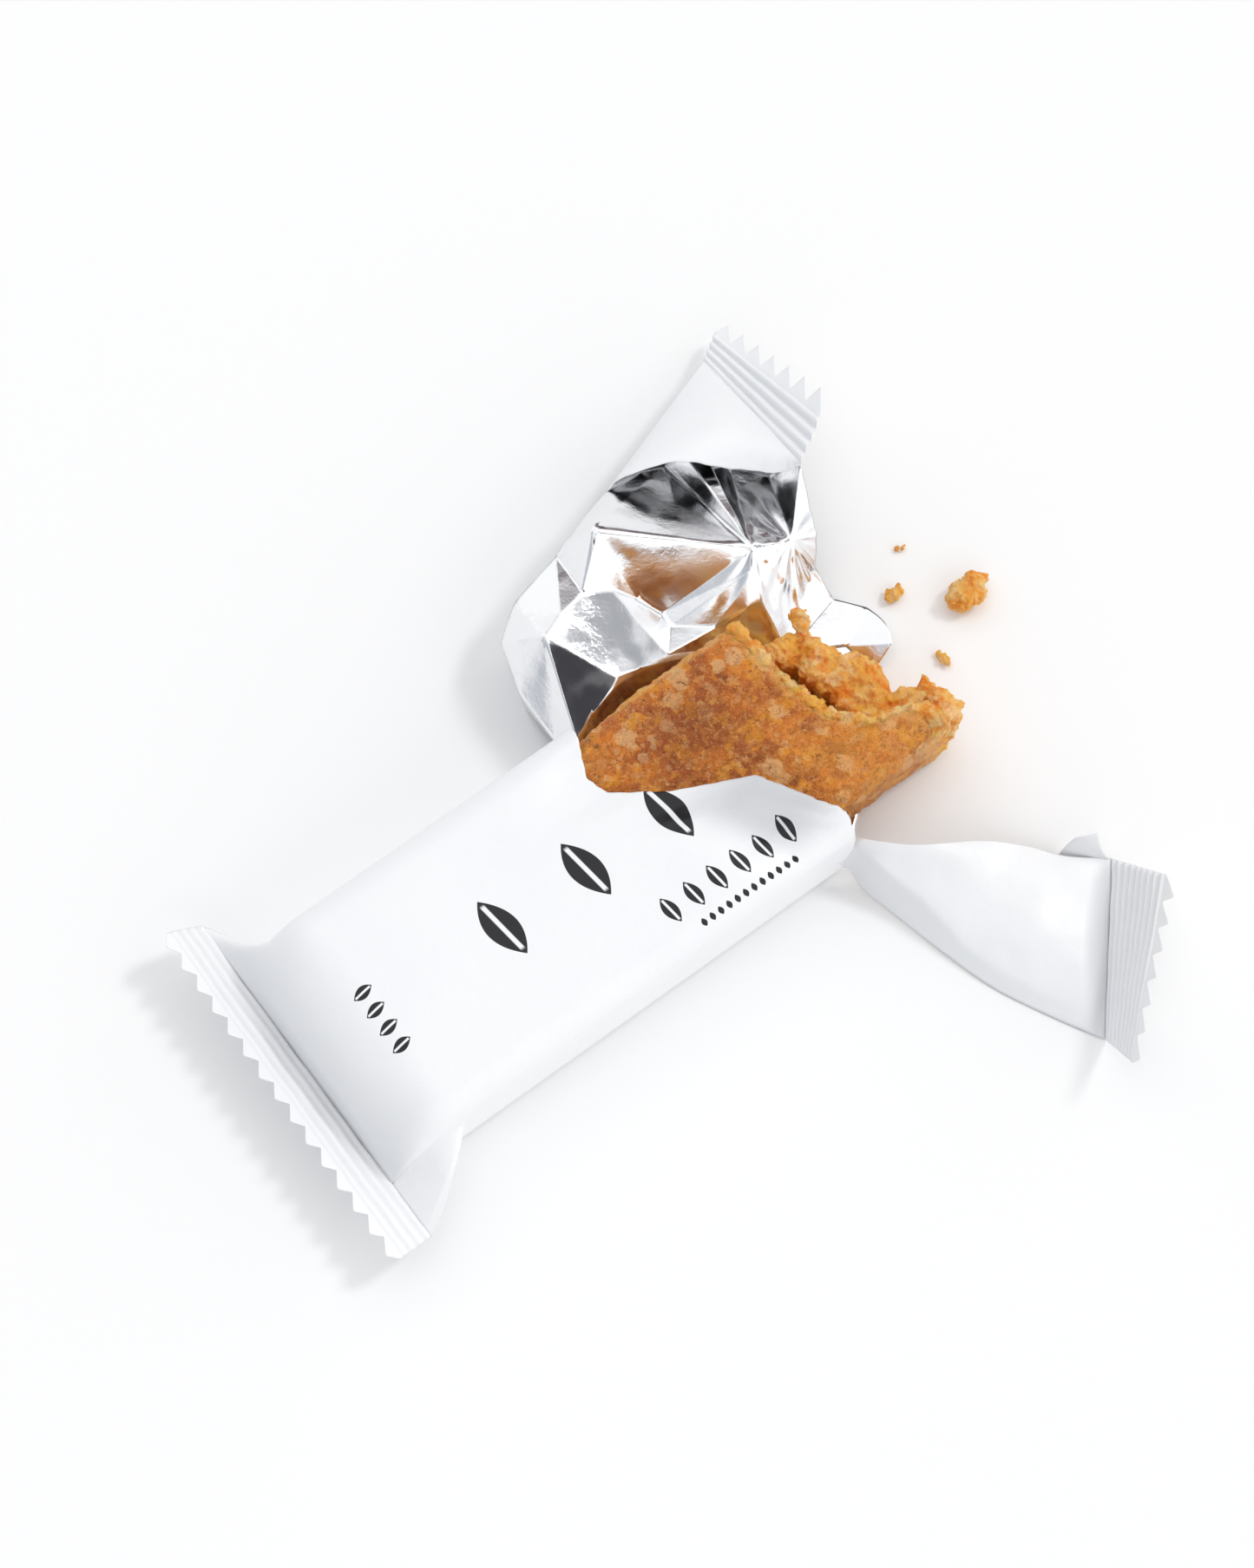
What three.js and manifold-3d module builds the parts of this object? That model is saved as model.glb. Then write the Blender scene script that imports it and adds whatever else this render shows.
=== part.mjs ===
// A pressed oat bar, broken at one end, lying half out of its torn flow-wrap film.
// Millimetres, +Z up. While it is built, x runs from the bar's whole end (x = 0) to its broken end, y = 0 is the
// bar's centre line and z = 0 is the surface it lies on. At the end everything is moved so that the origin is the
// bottom centre of the whole.

import * as THREE from "three";
import { ImprovedNoise } from "three/addons/math/ImprovedNoise.js";
import { mergeVertices } from "three/addons/utils/BufferGeometryUtils.js";
import Module from "manifold-3d";

// ---- driving dimensions: the bar ----
const barWidth = 33.2;
const barThickness = 16;
const barMiddleY = 2.4; // it lies to the left in its film
const barCornerRadii = [2.9, 6, 4, 4.2]; // upper left, upper right, lower right, lower left
const barLift = 0.9; // the film and a small gap lie under it
const barStart = 0.4; // x of its whole end
const barEndRound = 6; // how far the whole end is rounded off
const leftDent = { x: 56, length: 8, depth: 1.6 }; // a shallow hollow in its left side
const barWaviness = 0.35; // depth of the hollows on the pressed faces
const hollowsPerMm = 0.16; // how close together they lie
const cragDepth = 1.3; // depth of the crags on the broken face
const cragPitch = 2.4; // from one crag to the next
const ledgeStep = 1.6; // over which it drops from one to the other
const crackWidth = 2.2;
const crackBottom = 6.5;

// How far the top face reaches, and how far the crumbly ledge beyond it reaches, across the width: [y, x].
const fractureLine = [
  [-14.2, 102.5],
  [-12.5, 104],
  [-8.5, 101],
  [-6.5, 94],
  [-1.5, 90.4],
  [4.5, 88.6],
  [12, 87.6],
  [19, 86.9],
];
const ledgeLine = [
  [-14.2, 102],
  [-13, 106.3],
  [-11, 107.6],
  [-7.2, 106],
  [-4.6, 101.4],
  [-0.4, 100.9],
  [1.2, 102],
  [3.4, 100.8],
  [7, 97.6],
  [11.4, 96.6],
  [14.6, 89.6],
  [18.6, 87.4],
];
// The ledge stands lower than the top face: [y, z].
const ledgeHeights = [
  [-14, 14.4],
  [-8, 13.6],
  [-3, 12.6],
  [5, 12.2],
  [19, 11.4],
];
const crackEnds = [
  [90, 11],
  [92.9, -3.5],
];

// ---- driving dimensions: the film and its sleeve ----
const filmThickness = 0.5;
const sleeveWidth = 39.8;
const sleeveMiddleY = 0.2;
const sleeveHeight = 18.4;
const sleeveCornerRadii = [4.5, 4.5, 4.5, 4.5];
const sleeveCrown = 0.9; // the top is puffed up a little
const seamX = -4.9; // where the sleeve is flat and its end seal begins
const seamZ = 6;
const seamGap = 1.2; // the two films, still a little apart there
const seamHalfWidth = 30;
const shoulderLength = 12.5; // from the seam to the full section
const shoulderWall = 4.5; // how far the top rises at once beside the seam
const earLeftLength = 6; // the tucked corner on the left side
const earRightLength = 13; // and the longer one on the right
const tongueEnd = 107; // the bottom film runs on under the bar's broken end
const wallHeight = 4; // of the left wall that the flap hangs on
const wallEnd = 91;
const lowEdge = 1.4; // height of what is left of the right side beyond the tear
const tearEnd = 81.5; // x at which the tear leaves the right side
const clear = 26; // farther out than the sleeve's sides, for the outlines of the cuts

// The torn edge across the top of the sleeve, from its left side to its right: [x, y].
const tornEdge = [
  [56.8, clear],
  [56.8, 17.6],
  [53.9, 11],
  [54.8, 7.2],
  [62, 1.6],
  [73.7, -4.7],
  [78.8, -13.2],
  [tearEnd, -17],
  [tearEnd, -clear],
];
// What is torn off the bottom film on its right side.
const tongueCut = [
  [83, -clear],
  [83, -17.7],
  [88, -13],
  [100, -9],
  [104, 2],
  [105, 3.5],
  [104, 14],
  [96, 16],
  [92.5, 18],
  [91, 20],
  [91, clear],
  [115, clear],
  [115, -clear],
].reverse();

// ---- driving dimensions: the end seals ----
const toothPitch = 4;
const toothDepth = 2.6;
const closedToothDepth = 1.7; // the closed end's zigzag is shallower
const sealThickness = 0.9; // two films pressed together
const ribHeight = 0.22;
const ribPitch = 1.7;
const ribbedDepth = 6.8; // the ribs stop short of the teeth

const colours = { crumb: 0xb9743a, film: 0xf2f3f5 };

// ---- helpers ----
const { clamp, lerp, smoothstep } = THREE.MathUtils;
const noise = new ImprovedNoise();
const wasm = await Module();
wasm.setup();

const point = (x, y, z) => new THREE.Vector3(x, y, z);
const between = (a, b, t) => new THREE.Vector3().lerpVectors(a, b, t);

// The value of a broken line of [key, value] pairs, with rising keys, at one key.
function along(line, key) {
  for (let i = 1; i < line.length; i++) {
    const [k0, v0] = line[i - 1];
    const [k1, v1] = line[i];
    if (key <= k1) return lerp(v0, v1, clamp((key - k0) / (k1 - k0), 0, 1));
  }
  return line.at(-1)[1];
}

function solidOf(geometry) {
  const merged = mergeVertices(geometry, 1e-4);
  return new wasm.Manifold(
    new wasm.Mesh({
      numProp: 3,
      vertProperties: merged.attributes.position.array,
      triVerts: new Uint32Array(merged.index.array),
    }),
  );
}

function solidFrom(points, triangles) {
  const geometry = new THREE.BufferGeometry().setFromPoints(points);
  geometry.setIndex(triangles);
  return solidOf(geometry);
}

function geometryOf(solid) {
  const mesh = solid.getMesh();
  const geometry = new THREE.BufferGeometry();
  geometry.setAttribute(
    "position",
    new THREE.BufferAttribute(mesh.vertProperties, mesh.numProp),
  );
  geometry.setIndex(new THREE.BufferAttribute(mesh.triVerts, 1));
  return geometry;
}

// A closed solid over rings of equal length, from one end point to the other.
function loft(startPoint, rings, endPoint) {
  const count = rings[0].length;
  const points = [startPoint, ...rings.flat(), endPoint];
  const last = points.length - 1;
  const index = (ring, i) => 1 + ring * count + (i % count);
  const triangles = [];
  for (let i = 0; i < count; i++) {
    triangles.push(0, index(0, i + 1), index(0, i));
    triangles.push(last, index(rings.length - 1, i), index(rings.length - 1, i + 1));
    for (let ring = 1; ring < rings.length; ring++) {
      const [a, b] = [index(ring - 1, i), index(ring - 1, i + 1)];
      const [c, d] = [index(ring, i), index(ring, i + 1)];
      triangles.push(a, b, d, a, d, c);
    }
  }
  return solidFrom(points, triangles);
}

// A closed solid of one thickness around a sheet of triangles, both of its faces split alike.
function sheet(points, triangles, thickness) {
  const geometry = new THREE.BufferGeometry().setFromPoints(points);
  geometry.setIndex(triangles);
  geometry.computeVertexNormals();
  const normal = geometry.attributes.normal;
  const offset = (side) =>
    points.map((p, i) =>
      p.clone().addScaledVector(new THREE.Vector3().fromBufferAttribute(normal, i), (side * thickness) / 2),
    );
  const count = points.length;
  const faces = [...triangles];
  const edges = new Map();
  for (let i = 0; i < triangles.length; i += 3) {
    const [a, b, c] = triangles.slice(i, i + 3);
    faces.push(a + count, c + count, b + count);
    for (const [p, q] of [[a, b], [b, c], [c, a]]) {
      if (!edges.delete(`${q} ${p}`)) edges.set(`${p} ${q}`, [p, q]);
    }
  }
  for (const [p, q] of edges.values()) {
    faces.push(q, p, p + count, q, p + count, q + count);
  }
  return solidFrom([...offset(1), ...offset(-1)], faces);
}

// The triangles of a grid of rows, and the sheet over such a grid, its face up where rows run to the right.
function gridTriangles(rows, columns) {
  const triangles = [];
  for (let r = 0; r < rows - 1; r++) {
    for (let c = 0; c < columns - 1; c++) {
      const a = r * columns + c;
      triangles.push(a, a + 1, a + columns + 1, a, a + columns + 1, a + columns);
    }
  }
  return triangles;
}
const gridSheet = (rows, thickness) =>
  sheet(rows.flat(), gridTriangles(rows.length, rows[0].length), thickness);

// Evenly spaced points round a rectangle with round corners, centred on the origin, from its right side upwards.
function roundedLoop(width, height, [a, b, c, d], count) {
  const [w, h] = [width / 2, height / 2];
  const outline = new THREE.Shape();
  outline.moveTo(w, 0);
  outline.absarc(w - a, h - a, a, 0, Math.PI / 2, false);
  outline.absarc(b - w, h - b, b, Math.PI / 2, Math.PI, false);
  outline.absarc(c - w, c - h, c, Math.PI, 1.5 * Math.PI, false);
  outline.absarc(w - d, d - h, d, 1.5 * Math.PI, 2 * Math.PI, false);
  outline.closePath();
  return outline.getSpacedPoints(count).slice(0, count);
}

// A straight-sided block over an outline of [x, y] corners, for cutting.
function block(corners, low, high) {
  const outline = new THREE.Shape(corners.map(([x, y]) => new THREE.Vector2(x, y)));
  const geometry = new THREE.ExtrudeGeometry(outline, { depth: high - low, bevelEnabled: false });
  geometry.translate(0, 0, low);
  geometry.deleteAttribute("normal");
  geometry.deleteAttribute("uv");
  return solidOf(geometry);
}

// ---- the bar ----
const barMiddleZ = barLift + barThickness / 2;

// How far the bar reaches at one place of its section: the top face to the fracture, the rest to the ledge.
function brokenEnd(y, z) {
  const lower = smoothstep(along(ledgeHeights, y) + 1 - z, 0, ledgeStep);
  const reach = lerp(along(fractureLine, y), along(ledgeLine, y), lower);
  return reach + lower * cragDepth * noise.noise(y / cragPitch, z / cragPitch, 3.7);
}

function makeBar() {
  const section = roundedLoop(barWidth, barThickness, barCornerRadii, 44);
  const ring = (scale, place) =>
    section.map((s) => {
      const [across, z] = [s.x * scale, barMiddleZ + s.y * scale];
      const x = place(barMiddleY + across, z);
      const hollow = barWaviness * Math.min(noise.noise(x * hollowsPerMm, across * hollowsPerMm, z * hollowsPerMm), 0);
      const side = 1 + hollow / (barWidth / 2);
      const up = s.y > 0 ? hollow : 0; // the underside stays flat
      const dent = leftDent.depth * Math.exp(-(((x - leftDent.x) / leftDent.length) ** 2));
      const y = barMiddleY + across * side - dent * smoothstep(across, 4, barWidth / 2);
      return point(x, y, z + up);
    });
  const rings = [];
  for (const scale of [0.45, 0.8, 0.95, 1]) {
    rings.push(ring(scale, () => barStart + barEndRound * (1 - Math.sqrt(1 - 0.98 * scale * scale))));
  }
  const steps = 15;
  for (let step = 1; step <= steps; step++) {
    rings.push(ring(1, (y, z) => lerp(barStart + barEndRound, brokenEnd(y, z), step / steps)));
  }
  for (const scale of [0.84, 0.68, 0.5, 0.3]) {
    rings.push(ring(scale, brokenEnd));
  }
  const tip = point(brokenEnd(barMiddleY, barMiddleZ), barMiddleY, barMiddleZ);
  const body = loft(point(barStart, barMiddleY, barMiddleZ), rings, tip);
  const [[x0, y0], [x1, y1]] = crackEnds;
  const middle = [(x0 + x1) / 2, (y0 + y1) / 2];
  const crack = block(
    [
      [x0, y0],
      [middle[0] - crackWidth / 2, middle[1]],
      [x1, y1],
      [middle[0] + crackWidth / 2, middle[1] + 1],
    ],
    crackBottom,
    barThickness + 4,
  );
  return body.subtract(crack);
}

// ---- the sleeve: a flattened tube of film, closed at the seam and torn open over the bar ----
const sleeveLoop = roundedLoop(sleeveWidth, sleeveHeight, sleeveCornerRadii, 48);
const earWidth = seamHalfWidth - sleeveWidth / 2;

// One ring of the tube at x, set in by a depth on all sides.
function sleeveRing(x, inset) {
  const open = clamp((x - seamX) / shoulderLength, 0, 1);
  const bottom = (seamZ - seamGap / 2) * (1 - Math.min(open * 2, 1)) ** 2 + inset;
  const earLeft = earWidth * (1 - clamp((x - seamX) / earLeftLength, 0, 1));
  const earRight = earWidth * (1 - clamp((x - seamX) / earRightLength, 0, 1)) ** 0.8;
  return sleeveLoop.map((p) => {
    const level = p.y / (sleeveHeight / 2); // -1 at the bottom, 1 at the top
    const across = p.x / (sleeveWidth / 2); // -1 at the right side, 1 at the left
    const wall = shoulderWall * (1 - smoothstep(Math.abs(across), 0.3, 1)) * smoothstep(open, 0, 0.1);
    const foot = seamZ + seamGap / 2 + wall;
    const top = lerp(foot, sleeveHeight, 1 - (1 - open) ** 2.2) - inset;
    const flange = across > 0 ? 1 - Math.abs(level) : 1 - smoothstep(Math.abs(level), 0.08, 0.22);
    const ear = (across > 0 ? earLeft : -earRight) * flange * Math.abs(across) ** 8;
    const crown = Math.max(level, 0) ** 3 * sleeveCrown * open * (1 - across * across);
    const y = sleeveMiddleY + across * (sleeveWidth / 2 - inset) + ear;
    return point(x, y, (top + bottom) / 2 + (level * (top - bottom)) / 2 + crown);
  });
}

function makeSleeve() {
  const tube = (stations, inset) => {
    const [first, last] = [stations[0], stations.at(-1)];
    const centre = (x) => {
      const heights = sleeveRing(x, inset).map((p) => p.z);
      return point(x, sleeveMiddleY, heights.reduce((sum, z) => sum + z, 0) / heights.length);
    };
    return loft(centre(first), stations.map((x) => sleeveRing(x, inset)), centre(last));
  };
  const inner = [-4.1, -3.65, -2.8, -1.5, 0, 2, 4.5, 7.6, 30, tongueEnd];
  const outer = [seamX, -4.5, ...inner];
  const whole = tube(outer, 0).subtract(tube([...inner, tongueEnd + 1], filmThickness));
  const past = tongueEnd + 5;
  const beyond = [...tornEdge, [past, -clear], [past, clear]].reverse();
  const low = [
    [tearEnd, -clear],
    [past, -clear],
    [past, clear],
    [wallEnd, clear],
    [wallEnd, 0],
    [tearEnd, 0],
  ];
  return whole
    .subtract(block(beyond, wallHeight, sleeveHeight + 5))
    .subtract(block(low, lowEdge, wallHeight + 1))
    .subtract(block(tongueCut, -5, wallHeight + 5));
}

// ---- the end seals: two films pressed together, ribbed, with a zigzag cut edge ----
// Corners: the two ends of the seam, then the outer edge's ends.
function makeSeal([rootA, rootB, tipA, tipB], tooth = toothDepth) {
  const teeth = Math.round(rootA.distanceTo(rootB) / toothPitch);
  const depth = rootA.distanceTo(tipA);
  const face = new THREE.Vector3()
    .crossVectors(between(tipA, tipB, 0.5).sub(between(rootA, rootB, 0.5)), rootB.clone().sub(rootA))
    .normalize();
  if (face.z < 0) face.negate();
  const columns = 2 * teeth + 1;
  const ribRows = Math.round((2 * ribbedDepth) / ribPitch);
  const depths = [];
  for (let row = 0; row <= ribRows; row++) depths.push((row * ribPitch) / 2);
  depths.push(depth - tooth, depth);
  const rows = depths.map((d, row) => {
    const line = [];
    for (let column = 0; column < columns; column++) {
      const a = column / (columns - 1);
      const isNotch = row === depths.length - 1 && column % 2 === 0;
      const reach = isNotch ? depth - tooth * 0.9 : d;
      const rib = row > 0 && row < ribRows ? ribHeight * (row % 2 ? 1 : -1) : 0;
      const spot = between(between(rootA, rootB, a), between(tipA, tipB, a), reach / depth);
      line.push(spot.addScaledVector(face, rib));
    }
    return line;
  });
  return gridSheet(rows, sealThickness);
}

const closedSeal = [
  point(-4.5, 30, 6),
  point(-4.6, -29.6, 6),
  point(-11.5, 31.9, 9.8),
  point(-12.3, -30.4, 8.8),
];

// ---- the left flap: the film's left side pulled open, its inside up, creased like foil ----
const foldPoints = {
  mouth: point(57.4, 18.4, 11.5),
  lipLow: point(61.6, 20.6, 12.6),
  lip: point(66.8, 21.9, 13.3),
  lipHigh: point(72.2, 22.5, 12.2),
  starLow: point(77.8, 22.6, 9.6),
  starOuter: point(62.4, 33.6, 17.5),
  scar: point(68.2, 22.9, 13.9),
  ridgeA: point(66.7, 35.5, 16.5),
  ridgeB: point(71.9, 36.9, 15.1),
  saddle: point(76.5, 35.3, 13.1),
  midway: point(76.9, 29.5, 11.6),
  starTop: point(78.4, 42.9, 20),
  starRight: point(97.6, 27.5, 14.8),
  slope: point(79.5, 32.8, 9.2),
  hollow: point(81.7, 29.7, 6.7),
  valley: point(81.4, 26.9, 7.2),
  ridgeFoot: point(95.7, 25.0, 13.2),
  ridgeEnd: point(94.9, 21.3, 10),
  basin: point(87.1, 22.3, 8),
  starFar: point(104.0, 25.7, 12.5),
  dip: point(99.8, 19.0, 4),
  rootMouth: point(56.6, 20.0, 3.6),
  rootA: point(70, 20.0, 3.6),
  rootB: point(87.5, 20.0, 3.6),
  rootC: point(95.5, 14.5, 0.4),
  rootD: point(103.5, 10, 0.35),
  edgeA: point(108.3, 24.6, 10),
  tip: point(106.2, 21.8, 5.4),
  edgeB: point(106.5, 17.3, 1.2),
  edgeC: point(110.0, 13.1, 0.8),
  edgeD: point(110.8, 8.7, 2),
  edgeE: point(108.9, 5.3, 2.8),
  edgeF: point(104.4, 4, 0.3),
  brimA: point(55.5, 21.5, 8),
  brimB: point(55.5, 31, 9),
  brimC: point(58, 39.5, 10),
  brimD: point(63.5, 43.5, 10.5),
  brimE: point(73, 45.5, 12),
  brimF: point(81, 48.5, 12),
  backA: point(87, 51, 8),
  backB: point(94, 52, 4.5),
  backC: point(98, 50.5, 4),
  bandLeft: point(100.5, 48.5, 9),
  bandRight: point(103, 47, 9),
  backD: point(106, 45, 4),
  backE: point(110, 39, 5.5),
  backF: point(112.5, 34.5, 14),
  hemA: point(56.6, 22.6, 1.6),
  hemB: point(56.6, 31, 0.02),
  hemC: point(59.4, 39, 0.02),
  hemD: point(64.6, 43, 0.02),
  hemE: point(74, 45, 0.02),
  hemF: point(82, 48.2, 0.5),
  hemG: point(88, 50.6, 2.0),
  sealLeft: point(114, 61.3, 4.6),
  sealMiddle: point(113.3, 48, 9),
};
const foldFacets = [
  "mouth lipLow starOuter",
  "lipLow scar starOuter",
  "lipLow lip scar",
  "lip lipHigh scar",
  "scar lipHigh midway",
  "lipHigh starLow midway",
  "scar midway saddle",
  "scar saddle ridgeB",
  "scar ridgeB ridgeA",
  "scar ridgeA starOuter",
  "mouth rootMouth rootA",
  "mouth rootA lipLow",
  "lipLow rootA lip",
  "lip rootA lipHigh",
  "lipHigh rootA rootB",
  "lipHigh rootB starLow",
  "starLow rootB basin",
  "starLow basin valley",
  "midway starLow valley",
  "midway valley hollow",
  "midway hollow slope",
  "midway slope saddle",
  "saddle slope starTop",
  "slope hollow starRight",
  "slope starRight starTop",
  "hollow valley ridgeFoot",
  "hollow ridgeFoot starRight",
  "valley basin ridgeFoot",
  "basin ridgeEnd ridgeFoot",
  "ridgeFoot ridgeEnd starRight",
  "ridgeB saddle starTop",
  "basin rootB rootC",
  "basin rootC ridgeEnd",
  "ridgeEnd starFar starRight",
  "ridgeEnd rootC dip",
  "ridgeEnd dip starFar",
  "dip tip starFar",
  "starFar tip edgeA",
  "dip rootC edgeB",
  "dip edgeB tip",
  "rootC rootD edgeC",
  "rootC edgeC edgeB",
  "rootD edgeD edgeC",
  "rootD edgeF edgeE",
  "rootD edgeE edgeD",
  "starTop starRight backC",
  "starTop backC backB",
  "starTop backB backA",
  "starRight bandLeft backC",
  "starRight bandRight bandLeft",
  "starRight backD bandRight",
  "starRight starFar backD",
  "starFar backE backD",
  "starFar backF backE",
  "starFar edgeA backF",
  "starOuter ridgeA brimD",
  "ridgeA brimE brimD",
  "ridgeA ridgeB brimE",
  "ridgeB starTop brimE",
  "starTop brimF brimE",
  "starTop backA brimF",
  "starOuter brimD brimC",
  "starOuter brimC brimB",
  "starOuter brimB brimA",
  "starOuter brimA mouth",
  "rootMouth mouth brimA",
  "rootMouth brimA hemA",
  "brimA brimB hemB",
  "brimA hemB hemA",
  "brimB brimC hemC",
  "brimB hemC hemB",
  "brimC brimD hemD",
  "brimC hemD hemC",
  "brimD brimE hemE",
  "brimD hemE hemD",
  "brimE brimF hemF",
  "brimE hemF hemE",
  "brimF backA hemG",
  "brimF hemG hemF",
  "backA backB sealLeft",
  "backB backC sealLeft",
  "backC bandLeft sealLeft",
  "bandLeft bandRight sealMiddle",
  "bandLeft sealMiddle sealLeft",
  "bandRight backD sealMiddle",
  "backD backE sealMiddle",
  "backE backF sealMiddle",
];

function makeFlap() {
  const names = Object.keys(foldPoints);
  const triangles = foldFacets.flatMap((facet) => facet.split(" ").map((name) => names.indexOf(name)));
  return sheet(Object.values(foldPoints), triangles, filmThickness);
}

// ---- the stub: the front film that still lies over the flap's far end, as a flattened pocket ----
const stubTornEdge = [
  point(87, 51, 8),
  point(89.5, 50, 12),
  point(97.5, 46.5, 13.5),
  point(104, 40.8, 12.5),
  point(109.5, 35.6, 13),
  point(112.4, 34.2, 14.6),
];
const stubBulge = 1.6;
const leftSeal = [
  point(114, 61.5, 5),
  point(112.5, 34.5, 15),
  point(121, 66.2, 3.4),
  point(122.6, 40.6, 17.4),
];

function makeStub() {
  const [sealLeft, sealRight] = leftSeal;
  const last = stubTornEdge.length - 1;
  const rows = [0, 0.33, 0.66, 1].map((t) =>
    stubTornEdge.map((p, i) => {
      const spot = between(p, between(sealLeft, sealRight, i / last), t);
      spot.z += stubBulge * Math.sin(Math.PI * t) * Math.sin((Math.PI * i) / last);
      return spot;
    }),
  );
  return gridSheet(rows.reverse(), filmThickness);
}

// ---- the right strip: a tongue of both films torn off beside the bar, twisted at its root ----
const stripTopEdge = new THREE.CatmullRomCurve3([
  point(81.5, -16.9, 10),
  point(84.8, -21, 10),
  point(90, -25, 8.4),
  point(98.7, -29.6, 6.4),
  point(104.4, -33.5, 3.6),
  point(108.5, -38, 2.4),
  point(114.9, -42.5, 0.3),
]);
const stripLowEdge = new THREE.CatmullRomCurve3([
  point(78, -19.6, 8.6),
  point(80.2, -20.6, 4),
  point(81, -24.7, 1.2),
  point(82.6, -31, 0.25),
  point(84.6, -39.2, 0.25),
  point(87.2, -47.8, 0.25),
  point(91, -55.8, 0.25),
  point(95.8, -64.6, 0.25),
]);
const rightSeal = [
  point(114.9, -42.5, 0.3),
  point(95.8, -64.6, 0.25),
  point(117.2, -53.2, 12.2),
  point(93.8, -72.7, 12.2),
];
const stripRows = 10;
const stripBulge = 3; // it is puffed up beside its seal

function makeStrip() {
  const rows = [];
  for (let row = 0; row <= stripRows; row++) {
    const [top, low] = [stripTopEdge.getPoint(row / stripRows), stripLowEdge.getPoint(row / stripRows)];
    rows.push(
      [0, 0.2, 0.45, 0.7, 1].map((t) => {
        const spot = between(low, top, t);
        const puff = smoothstep(row / stripRows, 0.3, 0.8) * (row < stripRows ? 1 : 0);
        spot.z += stripBulge * Math.sin(Math.PI * t) * puff;
        return spot;
      }),
    );
  }
  return gridSheet(rows.reverse(), filmThickness);
}

function makeWrapper() {
  return [
    makeSleeve(),
    makeSeal(closedSeal, closedToothDepth),
    makeFlap(),
    makeStub(),
    makeSeal(leftSeal),
    makeStrip(),
    makeSeal(rightSeal),
  ].reduce((whole, piece) => whole.add(piece));
}

// ---- the whole, with its origin at the bottom centre ----
function mesh(name, solid, colour, roughness) {
  const material = new THREE.MeshStandardMaterial({ color: colour, roughness, metalness: 0 });
  const made = new THREE.Mesh(geometryOf(solid), material);
  made.name = name;
  return made;
}

const group = new THREE.Group();
group.name = "granola_bar_in_torn_wrapper";
group.add(mesh("bar", makeBar(), colours.crumb, 0.75));
group.add(mesh("wrapper", makeWrapper(), colours.film, 0.4));

const size = new THREE.Box3().setFromObject(group);
const centre = size.getCenter(new THREE.Vector3());
group.position.set(-centre.x, -centre.y, -size.min.z);

export default group;
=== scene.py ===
"""A pressed oat bar, broken at one end, lying half out of its torn flow-wrap film, on a plain pale table."""

import math

import bmesh
import bpy
import numpy as np
from mathutils import Matrix, Vector, noise


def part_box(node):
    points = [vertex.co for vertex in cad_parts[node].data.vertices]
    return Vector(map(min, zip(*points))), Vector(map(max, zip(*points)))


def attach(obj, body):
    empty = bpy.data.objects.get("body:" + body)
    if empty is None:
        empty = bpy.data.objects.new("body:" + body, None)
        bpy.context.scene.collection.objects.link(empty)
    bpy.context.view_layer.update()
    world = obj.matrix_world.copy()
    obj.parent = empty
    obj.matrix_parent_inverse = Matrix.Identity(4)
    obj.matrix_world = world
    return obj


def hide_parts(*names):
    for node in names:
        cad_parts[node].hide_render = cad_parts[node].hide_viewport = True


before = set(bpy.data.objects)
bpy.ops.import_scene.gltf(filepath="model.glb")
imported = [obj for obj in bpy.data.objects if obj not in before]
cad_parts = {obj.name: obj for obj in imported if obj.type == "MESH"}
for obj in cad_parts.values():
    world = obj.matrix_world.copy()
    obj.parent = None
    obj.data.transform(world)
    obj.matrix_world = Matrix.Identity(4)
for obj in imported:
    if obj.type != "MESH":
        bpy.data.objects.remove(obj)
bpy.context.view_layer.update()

# ---- The bar ----
# Rolled oats, crisp crumbs and honey, pressed into a slab and baked to golden brown. Its far end is
# broken off by hand: the top skin ends in a fracture line, and a lower, craggy ledge of open crumb stands
# out beyond it.
bar_width = 33.2
bar_thickness = 16.0
bar_middle_y = 2.4
bar_corner_radii = (2.9, 6.0, 4.0, 4.2)
bar_lift = 0.9
bar_start = 0.4
bar_end_round = 6.0
bar_middle_z = bar_lift + bar_thickness / 2
bar_core = ((8, -7, bar_middle_z), (80, 11, bar_middle_z))
bar_points_around = 320
bar_hidden_to = 48.0
left_dent = {"x": 56.0, "length": 8.0, "depth": 1.6}
fracture_line = [
    (-14.2, 102.5), (-12.5, 104), (-8.5, 101), (-6.5, 94), (-1.5, 90.4), (4.5, 88.6), (12, 87.6), (19, 86.9),
]
swell_size = 8.0
crag_size = 3.2
chip_size = 3.0
grain_size = 1.1
grit_size = 1.0
toasted_spot = {"x": 72.0, "y": 8.0, "length": 8.0, "width": 6.5}
golden_spot = {"x": 90.0, "y": -9.0, "length": 9.0, "width": 6.0}

# Sizes here and below are in millimetres in the pack's own frame: x from the bar's whole end to its broken
# end, y to its left, z up from the table. pack_to_frame turns points into metres in the shared frame.
bar_low, bar_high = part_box("bar")
pack_origin = Vector(
    (
        bar_low.x - bar_start / 1000,
        (bar_low.y + bar_high.y) / 2 - bar_middle_y / 1000,
        bar_low.z - bar_lift / 1000,
    )
)


def pack_to_frame(points):
    """Points in millimetres in the pack's frame, as metres in the shared frame."""
    return np.asarray(points, float) / 1000 + np.array(pack_origin)


def along(line, key):
    """The value of a broken line of (key, value) pairs at each key."""
    return np.interp(key, [k for k, _ in line], [v for _, v in line])


def smooth(low, high, value):
    """0 below low, 1 above high, and a smooth step between."""
    t = np.clip((np.asarray(value, float) - low) / (high - low), 0, 1)
    return t * t * (3 - 2 * t)


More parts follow.
